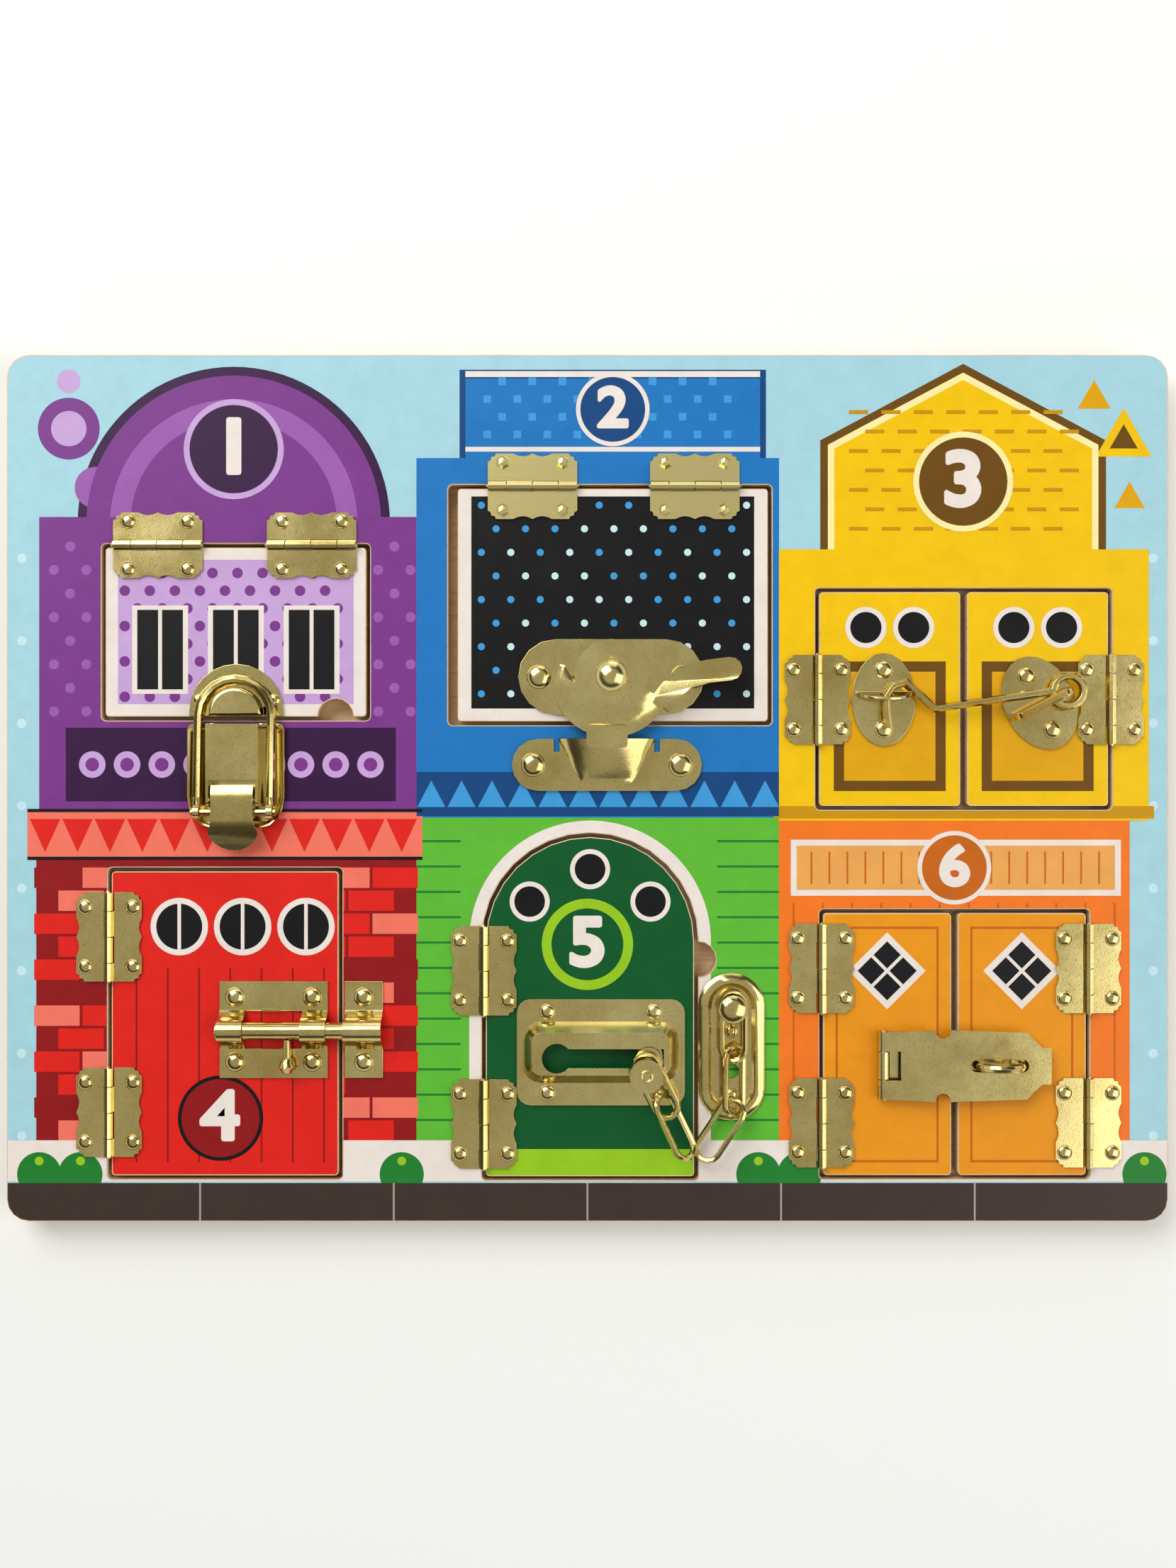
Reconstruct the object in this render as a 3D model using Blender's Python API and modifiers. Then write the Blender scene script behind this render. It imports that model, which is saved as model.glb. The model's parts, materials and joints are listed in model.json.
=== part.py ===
"""Latches board: a flat wooden board with eight small doors behind six kinds of brass catch.

The board lies on its back. +Z comes out of the printed front, +X is right and +Y is up the picture.
"""
from math import asin, atan2, cos, hypot, pi, radians, sin

import bmesh
import bpy
from mathutils import Matrix, Vector

MM = 0.001

# Fits
TOUCH = 0.3 * MM
RUNNING = 0.3 * MM
OVERRUN = 2 * MM
WELD = 0.002 * MM

# Wooden board
BOARD_WIDTH = 394 * MM
BOARD_HEIGHT = 294 * MM
BOARD_CORNER = 7.5 * MM
BACK_THICKNESS = 3 * MM
FRAME_THICKNESS = 8.7 * MM
DOOR_GAP = 1.4 * MM
WIDE_GAP = 3.3 * MM
PAIR_GAP = 2.4 * MM
CUTOUT_CORNER = 1.6 * MM
DOOR_CORNER = 1.2 * MM
FINGER_RADIUS = 6.1 * MM
FACE = BACK_THICKNESS + TOUCH + FRAME_THICKNESS
SEAT = FACE + TOUCH

# Cut-outs: left, right, bottom and top, as shares of the board's width and height from its middle
CUTOUT_SHARES = {
    "1": (-0.4185, -0.1871, 0.0779, 0.2823),
    "2": (-0.1201, 0.1589, 0.0724, 0.3503),
    "3": (0.1962, 0.4520, -0.0252, 0.2310),
    "4": (-0.4132, -0.2109, -0.4517, -0.0915),
    "5": (-0.0909, 0.0954, -0.4527, -0.0517),
    "6": (0.1997, 0.4327, -0.4514, -0.1395),
}
FINGER_1_SHARE = -0.2170
FINGER_5_SHARE = -0.1980

# Hinges
LEAF_LENGTH = 30.3 * MM
LEAF_REACH = 11.1 * MM
LEAF_THICKNESS = 0.7 * MM
LEAF_CORNER = 2.8 * MM
WAVE_DEPTH = 1.0 * MM
WAVE_LENGTH = 6.6 * MM
KNUCKLE_RADIUS = 1.5 * MM
PIN_RADIUS = 0.7 * MM
PIN_PROUD = 0.5 * MM
LEAF_RIVET_ACROSS = 8.1 * MM
LEAF_RIVET_ALONG = 10.1 * MM
LEAF_RIVET_RADIUS = 2.5 * MM
LEAF_RIVET_HEIGHT = 1.2 * MM
KNUCKLE_SHARES = (0.21, 0.29, 0.29, 0.21)
CORNER_SHARES = ((0.0, 1.0), (0.34, 0.82), (0.42, 0.42), (0.82, 0.34), (1.0, 0.0))
PIN_HEIGHT = SEAT + KNUCKLE_RADIUS

# Hinges: cut-out, name of the place, which edge, and share of the board along that edge
HINGE_SHARES = (
    ("1", "left", "top", -0.3695),
    ("1", "right", "top", -0.2371),
    ("2", "left", "top", -0.0472),
    ("2", "right", "top", 0.0924),
    ("3", "left", "left", 0.1020),
    ("3", "right", "right", 0.1020),
    ("4", "upper", "left", -0.1714),
    ("4", "lower", "left", -0.3735),
    ("5", "upper", "left", -0.2105),
    ("5", "lower", "left", -0.3871),
    ("6", "left_upper", "left", -0.2078),
    ("6", "left_lower", "left", -0.3857),
    ("6", "right_upper", "right", -0.2078),
    ("6", "right_lower", "right", -0.3857),
)

# Draw catch on door 1
CATCH_SHARE = -0.3018
STRIKE_WIDTH = 32.0 * MM
STRIKE_LENGTH = 17.6 * MM
STRIKE_EDGE = 0.9 * MM
STRIKE_THICKNESS = 0.8 * MM
STRIKE_RIVET_ACROSS = 12.7 * MM
STRIKE_RIVET_UP = 5.4 * MM
STRIKE_RIVET_RADIUS = 2.0 * MM
STRIKE_RIVET_HEIGHT = 0.8 * MM
NOSE_WIDTH = 18.6 * MM
NOSE_LENGTH = 9.8 * MM
NOSE_INSET = 1.6 * MM
NOSE_HEIGHT = 4.4 * MM
BASE_WIDTH = 32.8 * MM
BASE_TOP = 1.7 * MM
BASE_LENGTH = 35.2 * MM
BASE_THICKNESS = 1.0 * MM
BASE_TAPER = 8.0 * MM
BASE_RIM = 1.1 * MM
BRACKET_WIDTH = 17.6 * MM
BRACKET_TOP = 2.1 * MM
BRACKET_LENGTH = 18.8 * MM
BRACKET_WALL = 1.0 * MM
BRACKET_HEIGHT = 9.0 * MM
LEVER_PIVOT_DOWN = 27.8 * MM
LEVER_PIVOT_HEIGHT = 6.9 * MM
LEVER_PIVOT_RADIUS = 0.9 * MM
EAR_RADIUS = 2.2 * MM
CROSS_PIN_OFFSET = 3.9 * MM
CROSS_PIN_RADIUS = 1.2 * MM
CROSS_PIN_LENGTH = 28.4 * MM
LEVER_WIDTH = 14.2 * MM
LEVER_FLARE = 16.8 * MM
LEVER_HEEL = 5.0 * MM
LEVER_REACH = 16.8 * MM
LEVER_THICKNESS = 1.1 * MM
LEVER_RISE = 2.4 * MM
LEVER_DROP = 2.6 * MM
LEVER_ROUND = 5.2 * MM
LEVER_CHEEK = 1.0 * MM
BAIL_RADIUS = 1.6 * MM
BAIL_SPREAD = 24.5 * MM
BAIL_EYE_RADIUS = 2.5 * MM
BAIL_EYE_WIDTH = 2.0 * MM
BAIL_TOP = 13.2 * MM
BAIL_LIFT = 2.9 * MM

# Sash lock on door 2
SASH_SHARE = 0.0203
SASH_UP = 15.0 * MM
SASH_PLATE_LENGTH = 63.0 * MM
SASH_PLATE_WIDTH = 25.6 * MM
SASH_PLATE_THICKNESS = 1.0 * MM
SASH_RIVET_ACROSS = 24.4 * MM
SASH_RIVET_RADIUS = 4.0 * MM
SASH_RIVET_HEIGHT = 1.8 * MM
SASH_POST_RADIUS = 3.2 * MM
SASH_HEAD_RADIUS = 5.6 * MM
SASH_HEAD_HEIGHT = 2.6 * MM
CAM_THICKNESS = 1.1 * MM
CAM_LIFT = 2.3 * MM
CAM_RISE = 2.4 * MM
CAM_BAND_SHARE = 0.22
CAM_FLARE_RADIUS = 7.8 * MM
CAM_FLARE_HEIGHT = 1.0 * MM
CAM_DISC_RADIUS = 12.4 * MM
CAM_RIM_RADIUS = 20.6 * MM
HORN_RADIUS = 17.6 * MM
HORN_WIDTH = 1.5 * MM
HANDLE_LENGTH = 43.8 * MM
HANDLE_WIDTH = 7.8 * MM
HANDLE_RISE = 4.0 * MM
KEEPER_LENGTH = 64.4 * MM
KEEPER_WIDTH = 17.6 * MM
KEEPER_DROP = 4.6 * MM
KEEPER_OFFSET = 1.4 * MM
KEEPER_THICKNESS = 1.0 * MM
KEEPER_RIVET_ACROSS = 25.0 * MM
KEEPER_ARCH_WIDTH = 33.0 * MM
KEEPER_ARCH_FOOT = 16.0 * MM
KEEPER_NOTCH = 4.4 * MM
TAB_WIDTH = 13.8 * MM
TAB_REACH = 4.4 * MM

# Hook and eye on the pair of doors 3
HOOK_SHARE = 0.1000
HOOK_PLATE_THICKNESS = 0.8 * MM
HOOK_PLATE_WIDTH = 21.6 * MM
HOOK_PLATE_LENGTH = 31.6 * MM
HOOK_PLATE_CLEAR = 0.5 * MM
HOOK_RIVET_RADIUS = 3.0 * MM
HOOK_RIVET_HEIGHT = 1.4 * MM
HOOK_RIVET_ALONG = 10.1 * MM
FLANGE_HEIGHT = 8.2 * MM
FLANGE_LEAN = 2.4 * MM
FLANGE_THICKNESS = 0.9 * MM
FLANGE_UP = 0.6 * MM
FLANGE_HOLE = 2.5 * MM
EYE_PLATE_CLEAR = 0.1 * MM
EYE_PLATE_DOWN = 0.5 * MM
EYE_PLATE_LENGTH = 33.0 * MM
EYE_PLATE_WIDTH = 24.0 * MM
EYE_PLATE_TILT = radians(26)
HOOK_WIRE = 1.45 * MM
HOOK_LEVEL = 4.9 * MM
EYE_OUT = 8.6 * MM
EYE_UP = 3.4 * MM
EYE_RADIUS = 5.1 * MM
# Hook's line from its eye, as shares of the eye's distance from the flange's hole
HOOK_SHARES = (
    (-0.987, -0.205),
    (-0.998, -0.116),
    (-1.000, -0.036),
    (-0.959, 0.026),
    (-0.889, 0.047),
    (-0.816, -0.020),
    (-0.735, -0.099),
    (-0.091, -0.002),
)
STAPLE_WIRE = 1.4 * MM
STAPLE_BEND = 2.6 * MM
STAPLE_REACH = 19.8 * MM
STAPLE_TURN = radians(207.5)
STAPLE_HEIGHT = 9.2 * MM

# Barrel bolt on door 4
BOLT_SHARE = -0.2782
BOLT_SHEET = 0.8 * MM
BOLT_PLATE_LENGTH = 36.6 * MM
BOLT_PLATE_WIDTH = 32.8 * MM
BOLT_PLATE_IN = 4.2 * MM
BOLT_ROD_RADIUS = 3.0 * MM
BOLT_SADDLE_FOOT = 6.4 * MM
BOLT_SADDLE_NECK = 4.6 * MM
BOLT_STRAP = 8.6 * MM
BOLT_TAB_LENGTH = 6.2 * MM
BOLT_TAB_HEIGHT = 1.4 * MM
BOLT_RIVET_RADIUS = 3.2 * MM
BOLT_RIVET_HEIGHT = 1.7 * MM
BOLT_RIVET_INSET = 5.2 * MM
BOLT_RIVET_UP = 11.0 * MM
BOLT_KEEPER_OUT = 1.5 * MM
BOLT_KEEPER_LENGTH = 13.0 * MM
BOLT_ROD_TIP = 11.6 * MM
BOLT_ROD_TAIL = 42.0 * MM
BOLT_KNOB_IN = 17.4 * MM
BOLT_KNOB_RADIUS = 1.4 * MM
BOLT_KNOB_LENGTH = 14.6 * MM
BOLT_KNOB_END = 2.9 * MM

# Door chain on door 5
CHAIN_SHARE = -0.3095
SLOT_PLATE_LENGTH = 56.9 * MM
SLOT_PLATE_WIDTH = 36.0 * MM
SLOT_PLATE_IN = 3.9 * MM
SLOT_PLATE_UP = 1.5 * MM
SLOT_PLATE_CORNER = 4.6 * MM
SLOT_SHEET = 0.8 * MM
TRAY_LENGTH = 53.0 * MM
TRAY_WIDTH = 20.8 * MM
TRAY_CORNER = 6.4 * MM
TRAY_SLOPE = 3.2 * MM
TRAY_HEIGHT = 4.4 * MM
KEYHOLE_RADIUS = 5.05 * MM
KEYHOLE_IN = 47.2 * MM
SLOT_HALF_WIDTH = 3.2 * MM
SLOT_RIGHT = 11.2 * MM
SLOT_RIVET_RADIUS = 2.6 * MM
SLOT_RIVET_HEIGHT = 1.3 * MM
SLOT_RIVET_ACROSS = 18.1 * MM
SLOT_RIVET_UP = 13.8 * MM
SLUG_IN = 15.9 * MM
SLUG_HEAD_RADIUS = 4.4 * MM
SLUG_HEAD_THICKNESS = 1.4 * MM
SLUG_NECK_RADIUS = 1.5 * MM
SLUG_DISC_RADIUS = 5.7 * MM
SLUG_DISC_THICKNESS = 1.6 * MM
SLUG_FLANGE_RADIUS = 4.8 * MM
SLUG_FLANGE_THICKNESS = 0.9 * MM
SLUG_LEAN_X = 1.3 * MM
SLUG_LEAN_Y = 5.6 * MM
SLUG_HEIGHT = 12.4 * MM
ANCHOR_LENGTH = 50.0 * MM
ANCHOR_WIDTH = 22.7 * MM
ANCHOR_OUT = 11.9 * MM
ANCHOR_UP = 3.4 * MM
ANCHOR_SHEET = 0.8 * MM
ANCHOR_RIDGE = 2.2 * MM
ANCHOR_RIDGE_IN = 2.2 * MM
ANCHOR_FLOOR_IN = 4.6 * MM
ANCHOR_FLOOR = 0.9 * MM
ANCHOR_HOLE_RADIUS = 2.6 * MM
ANCHOR_HOLE_DOWN = 8.2 * MM
ANCHOR_RIVET_RADIUS = 2.3 * MM
ANCHOR_RIVET_HEIGHT = 1.2 * MM
ANCHOR_RIVET_UP = 5.4 * MM
ANCHOR_RIVET_DOWN = 16.3 * MM
STUD_UP = 13.5 * MM
STUD_NECK_RADIUS = 1.6 * MM
STUD_HEAD_RADIUS = 4.9 * MM
STUD_SPARE = 0.8 * MM
STUD_HEAD_HEIGHT = 1.7 * MM
LINK_LENGTH = 25.0 * MM
LINK_WIDTH = 10.2 * MM
LINK_WIRE = 1.1 * MM
CHAIN_LEVEL = 5.3 * MM

# Chain links: middle across and up, direction in turns, heights of both ends, and roll in turns.
# Lengths are shares of a link's length
LINK_SHARES = {
    "link_a": (0.487, 0.425, -0.250, -0.005, 0.005, 0.0369),
    "link_b": (0.499, -0.305, -0.251, 0.008, 0.020, -0.1080),
    "link_c": (0.309, -0.966, -0.342, 0.015, -0.012, 0.0535),
    "link_d": (-0.304, -0.888, -0.180, 0.125, 0.127, -0.1090),
    "link_e": (-0.554, -0.351, -0.176, 0.144, 0.122, 0.0182),
}

# Hasp on the pair of doors 6
HASP_SHARE = -0.3184
HASP_PIN_IN = 24.5 * MM
HASP_WIDTH = 22.5 * MM
HASP_KNUCKLE_RADIUS = 2.2 * MM
HASP_PIN_RADIUS = 1.1 * MM
HASP_KNUCKLE_LENGTH = 9.2 * MM
HASP_SHEET = 0.9 * MM
HASP_BASE_REACH = 20.0 * MM
HASP_BASE_CORNER = 5.0 * MM
HASP_LENGTH = 56.0 * MM
HASP_WINDOW = 3.4 * MM
HASP_NOTCH_RADIUS = 2.6 * MM
HASP_NOTCH_OUT = 19.7 * MM
HASP_SHOULDER = 48.1 * MM
HASP_TIP_WIDTH = 12.4 * MM
HASP_SLOT_OUT = 38.9 * MM
HASP_SLOT_LENGTH = 19.8 * MM
HASP_SLOT_WIDTH = 4.4 * MM
HASP_RIVET_RADIUS = 2.3 * MM
HASP_RIVET_HEIGHT = 1.2 * MM
HASP_STAPLE_SPREAD = 14.8 * MM
HASP_STAPLE_WIRE = 1.45 * MM
HASP_STAPLE_HEIGHT = 12.6 * MM
HASP_STAPLE_PLATE_LENGTH = 23.6 * MM
HASP_STAPLE_PLATE_WIDTH = 20.0 * MM

# Facets
ROUND_STEPS = 10
SMALL_STEPS = 8
LEAF_STEPS = 8
SHANK_STEPS = 3
WIRE_SIDES = 1

BRASS = ("brass_plate", (0.62, 0.50, 0.24), 1.0, 0.28)
COLOURS = {
    "board": ("printed_board", (0.50, 0.74, 0.82), 0.0, 0.35),
    "back": ("back_wood", (0.60, 0.42, 0.24), 0.0, 0.60),
    "1": ("door_violet", (0.27, 0.09, 0.33), 0.0, 0.35),
    "2": ("door_white", (0.75, 0.72, 0.68), 0.0, 0.35),
    "3": ("door_yellow", (0.86, 0.55, 0.01), 0.0, 0.35),
    "4": ("door_red", (0.80, 0.03, 0.01), 0.0, 0.35),
    "5": ("door_green", (0.01, 0.11, 0.02), 0.0, 0.35),
    "6": ("door_orange", (0.80, 0.30, 0.01), 0.0, 0.35),
}


for old in list(bpy.data.objects):
    bpy.data.objects.remove(old)
parts = bpy.data.collections.new("latches_board")
bpy.context.scene.collection.children.link(parts)


def material(settings):
    name, colour, metallic, roughness = settings
    found = bpy.data.materials.get(name)
    if found:
        return found
    made = bpy.data.materials.new(name)
    made.use_nodes = True
    shader = made.node_tree.nodes["Principled BSDF"]
    shader.inputs["Base Color"].default_value = (*colour, 1)
    shader.inputs["Metallic"].default_value = metallic
    shader.inputs["Roughness"].default_value = roughness
    return made


# Shapes made as loose meshes, ready to be joined


def loose(mesh, name="shape"):
    obj = bpy.data.objects.new(name, mesh)
    bpy.context.scene.collection.objects.link(obj)
    return obj


def evaluated(obj):
    """The object with its modifiers, or its curve, turned into a welded mesh."""
    bpy.context.view_layer.update()
    graph = bpy.context.evaluated_depsgraph_get()
    mesh = bpy.data.meshes.new_from_object(obj.evaluated_get(graph))
    mesh.transform(obj.matrix_world)
    bpy.data.objects.remove(obj)
    bm = bmesh.new()
    bm.from_mesh(mesh)
    bmesh.ops.remove_doubles(bm, verts=bm.verts, dist=WELD)
    bm.to_mesh(mesh)
    bm.free()
    return loose(mesh)


def sheet(outlines, bottom, thickness):
    """A flat outline with any holes, as a filled 2D curve with a thickness."""
    curve = bpy.data.curves.new("outline", "CURVE")
    curve.dimensions = "2D"
    curve.fill_mode = "BOTH"
    curve.extrude = thickness / 2
    for outline in outlines:
        spline = curve.splines.new("POLY")
        spline.points.add(len(outline) - 1)
        for point, place in zip(spline.points, outline):
            point.co = (place[0], place[1], 0, 1)
        spline.use_cyclic_u = True
    obj = loose(curve)
    obj.location.z = bottom + thickness / 2
    return evaluated(obj)


def wire(points, radius, closed=False, sides=WIRE_SIDES):
    curve = bpy.data.curves.new("wire", "CURVE")
    curve.dimensions = "3D"
    curve.bevel_depth = radius
    curve.bevel_resolution = sides
    curve.use_fill_caps = True
    spline = curve.splines.new("POLY")
    spline.points.add(len(points) - 1)
    for point, place in zip(spline.points, points):
        point.co = (*place, 1)
    spline.use_cyclic_u = closed
    return evaluated(loose(curve))


def turned(profile, steps=ROUND_STEPS):
    """A profile that runs down its outer side, turned about Z."""
    mesh = bpy.data.meshes.new("profile")
    edges = [(i, i + 1) for i in range(len(profile) - 1)]
    mesh.from_pydata([(r, 0, z) for r, z in profile], edges, [])
    obj = loose(mesh)
    screw = obj.modifiers.new("Turn", "SCREW")
    screw.steps = screw.render_steps = steps
    screw.use_merge_vertices = True
    screw.merge_threshold = WELD
    return evaluated(obj)


def rod(radius, length, steps=ROUND_STEPS):
    """A cylinder along Z with its middle at the origin."""
    mesh = bpy.data.meshes.new("rod")
    bm = bmesh.new()
    bmesh.ops.create_cone(
        bm, cap_ends=True, segments=steps, radius1=radius, radius2=radius, depth=length
    )
    bm.to_mesh(mesh)
    bm.free()
    return loose(mesh)


def block(low, high):
    mesh = bpy.data.meshes.new("block")
    bm = bmesh.new()
    bmesh.ops.create_cube(bm, size=1)
    size = [b - a for a, b in zip(low, high)]
    middle = [(a + b) / 2 for a, b in zip(low, high)]
    bm.transform(Matrix.Translation(middle) @ Matrix.Diagonal((*size, 1)))
    bm.to_mesh(mesh)
    bm.free()
    return loose(mesh)


def skin(loops, ends):
    """Faces between a row of like outlines, and over the ends asked for."""
    bm = bmesh.new()
    rings = [[bm.verts.new(place) for place in outline] for outline in loops]
    for outer, inner in zip(rings, rings[1:]):
        count = len(outer)
        for i in range(count):
            j = (i + 1) % count
            bm.faces.new((outer[i], outer[j], inner[j], inner[i]))
    for end in ends:
        bm.faces.new(rings[end])
    bmesh.ops.recalc_face_normals(bm, faces=bm.faces)
    return bm


def thickened(bm, thickness):
    """An open skin turned upwards, and given its thickness below."""
    bm.normal_update()
    if sum(face.normal.z * face.calc_area() for face in bm.faces) < 0:
        bmesh.ops.reverse_faces(bm, faces=bm.faces)
    mesh = bpy.data.meshes.new("skin")
    bm.to_mesh(mesh)
    bm.free()
    obj = loose(mesh)
    solid = obj.modifiers.new("Sheet", "SOLIDIFY")
    solid.thickness = thickness
    solid.offset = -1
    return evaluated(obj)


def stamped(loops, thickness):
    """A sheet pressed through a row of like outlines, outermost first, with its middle filled."""
    return thickened(skin(loops, (-1,)), thickness)


def moved(obj, place=(0, 0, 0), turn=0, axis="Z"):
    obj.data.transform(Matrix.Translation(place) @ Matrix.Rotation(turn, 4, axis))
    return obj


def boolean(obj, others, operation):
    for other in others:
        step = obj.modifiers.new("Joint", "BOOLEAN")
        step.operation = operation
        step.solver = "EXACT"
        step.object = other
    made = evaluated(obj)
    for other in others:
        bpy.data.objects.remove(other)
    return made


def joined(obj, *others):
    return boolean(obj, others, "UNION")


def cut(obj, *others):
    return boolean(obj, others, "DIFFERENCE")


def common(obj, *others):
    return boolean(obj, others, "INTERSECT")


def empty(name, place):
    joint = bpy.data.objects.new(name, None)
    joint.location = place
    joint.empty_display_size = KNUCKLE_RADIUS
    parts.objects.link(joint)
    return joint


def keep(obj, name, settings=BRASS, joint=None):
    """Names a finished shape, and hangs it on the empty that marks its joint."""
    mesh = obj.data
    bpy.data.objects.remove(obj)
    mesh.name = name
    mesh.materials.clear()
    mesh.materials.append(material(settings))
    mesh.shade_smooth()
    mesh.set_sharp_from_angle(angle=radians(35))
    kept = bpy.data.objects.new(name, mesh)
    parts.objects.link(kept)
    if joint:
        kept.parent = joint
        kept.matrix_parent_inverse = Matrix.Translation(joint.location).inverted()
    return kept


# Outlines


def arc(centre, radius, start, end, steps):
    return [
        (
            centre[0] + radius * cos(start + (end - start) * i / steps),
            centre[1] + radius * sin(start + (end - start) * i / steps),
        )
        for i in range(steps + 1)
    ]


def rounded(left, right, bottom, top, corner, steps=4):
    places = (
        (right - corner, top - corner),
        (left + corner, top - corner),
        (left + corner, bottom + corner),
        (right - corner, bottom + corner),
    )
    return [
        point
        for quarter, centre in enumerate(places)
        for point in arc(centre, corner, quarter * pi / 2, (quarter + 1) * pi / 2, steps)
    ]


def oval(centre, width, length, tilt=0, steps=24):
    found = []
    for i in range(steps):
        angle = 2 * pi * i / steps
        x, y = width / 2 * cos(angle), length / 2 * sin(angle)
        found.append(
            (
                centre[0] + x * cos(tilt) - y * sin(tilt),
                centre[1] + x * sin(tilt) + y * cos(tilt),
            )
        )
    return found


def level(outline, height):
    return [(x, y, height) for x, y in outline]


def dome(place, radius, height, root, steps=SMALL_STEPS):
    """A rivet's head on the sheet whose top is at the place, with its root inside the sheet."""
    profile = (
        (0, height),
        (radius * 0.6, height * 0.82),
        (radius, 0),
        (radius, -root),
        (0, -root),
    )
    return moved(turned(profile, steps), place)


# Wooden parts


def cutout(key):
    left, right, bottom, top = CUTOUT_SHARES[key]
    return (
        left * BOARD_WIDTH,
        right * BOARD_WIDTH,
        bottom * BOARD_HEIGHT,
        top * BOARD_HEIGHT,
    )


def arched(left, right, bottom, top, corner):
    """A doorway outline: square below, and half round above."""
    radius = (right - left) / 2
    crown = arc(((left + right) / 2, top - radius), radius, 0, pi, 16)
    feet = rounded(left, right, bottom, bottom + 2 * corner, corner)
    return crown + feet[len(feet) // 2 :]


def board_outline():
    return rounded(
        -BOARD_WIDTH / 2,
        BOARD_WIDTH / 2,
        -BOARD_HEIGHT / 2,
        BOARD_HEIGHT / 2,
        BOARD_CORNER,
    )


def finger_tool(centre):
    return moved(rod(FINGER_RADIUS, 4 * FACE, 2 * SMALL_STEPS), (*centre, FACE))


def build_board():
    keep(sheet([board_outline()], 0, BACK_THICKNESS), "back_board", COLOURS["back"])
    outlines = [board_outline()]
    for key in CUTOUT_SHARES:
        shape = arched if key == "5" else rounded
        outlines.append(shape(*cutout(key), CUTOUT_CORNER))
    frame = sheet(outlines, BACK_THICKNESS + TOUCH, FRAME_THICKNESS)
    frame = cut(frame, finger_tool((cutout("5")[1], FINGER_5_SHARE * BOARD_HEIGHT)))
    keep(frame, "front_frame", COLOURS["board"])


def doors():
    """The doors' boxes, by name: left, right, bottom and top."""
    found = {}
    for key in CUTOUT_SHARES:
        left, right, bottom, top = cutout(key)
        side = WIDE_GAP if key == "2" else DOOR_GAP
        box = (left + side, right - DOOR_GAP, bottom + DOOR_GAP, top - DOOR_GAP)
        if key in "36":
            middle = (left + right) / 2
            found["door_" + key + "_left"] = (box[0], middle - PAIR_GAP / 2, *box[2:])
            found["door_" + key + "_right"] = (middle + PAIR_GAP / 2, *box[1:])
        else:
            found["door_" + key] = box
    return found


def hinge_line(key, edge):
    left, right, bottom, top = cutout(key)
    return {
        "left": left + DOOR_GAP / 2,
        "right": right - DOOR_GAP / 2,
        "top": top - DOOR_GAP / 2,
    }[edge]


def build_doors():
    joints = {}
    for name, box in doors().items():
        key = name.split("_")[1]
        edge = "top" if key in "12" else "right" if name.endswith("right") else "left"
        line = hinge_line(key, edge)
        middle = ((box[0] + box[1]) / 2, (box[2] + box[3]) / 2)
        place = (middle[0], line, PIN_HEIGHT) if edge == "top" else (line, middle[1], PIN_HEIGHT)
        joints[name] = empty(name + "_axis", place)
        shape = arched if key == "5" else rounded
        door = sheet([shape(*box, DOOR_CORNER)], BACK_THICKNESS + TOUCH, FRAME_THICKNESS)
        if key == "1":
            door = cut(door, finger_tool((FINGER_1_SHARE * BOARD_WIDTH, box[2])))
        keep(door, name, COLOURS[key], joints[name])
    return joints


# Hinges, made lying with the pin along Y and the moving leaf towards +X


def knuckle_spans():
    """Top and bottom of each knuckle, with half the running gap off each end."""
    top = LEAF_LENGTH / 2
    spans = []
    for share in KNUCKLE_SHARES:
        bottom = top - share * LEAF_LENGTH
        spans.append((top - RUNNING / 2, bottom + RUNNING / 2))
        top = bottom
    return spans


def leaf_outline(own):
    """The leaf towards +X: scalloped outer edge, clipped corners, and cut clear of the other's knuckles."""
    half = LEAF_LENGTH / 2
    edge = []
    for trough in (0, 1):
        for i in range(4):
            share = i / 4
            along = (trough + share) * WAVE_LENGTH - WAVE_LENGTH
            edge.append((LEAF_REACH - WAVE_DEPTH * sin(pi * share), along))
    edge.append((LEAF_REACH, WAVE_LENGTH))
    top = [
        (LEAF_REACH - x * LEAF_CORNER, half - y * LEAF_CORNER) for x, y in CORNER_SHARES
    ]
    bottom = [(x, -y) for x, y in reversed(top)]
    clear = KNUCKLE_RADIUS + RUNNING
    inner = []
    for number, (high, low) in enumerate(knuckle_spans()):
        reach = KNUCKLE_RADIUS * 0.75 if number in own else clear
        inner += [(reach, high), (reach, low)]
    inner[0] = (inner[0][0], half)
    inner[-1] = (inner[-1][0], -half)
    for number in range(1, len(KNUCKLE_SHARES)):
        mine = number in own
        seam = inner[2 * number][1] if mine else inner[2 * number - 1][1]
        inner[2 * number - 1] = (inner[2 * number - 1][0], seam)
        inner[2 * number] = (inner[2 * number][0], seam)
    return bottom + edge + top + inner


def barrel(radius, bore, low, high, steps):
    """A tube or a rod along Y."""
    rings = [arc((0, 0), size, 0, 2 * pi * (steps - 1) / steps, steps - 1) for size in (radius, bore) if size]
    return moved(sheet(rings, -high, high - low), (0, 0, 0), pi / 2, "X")


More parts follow.
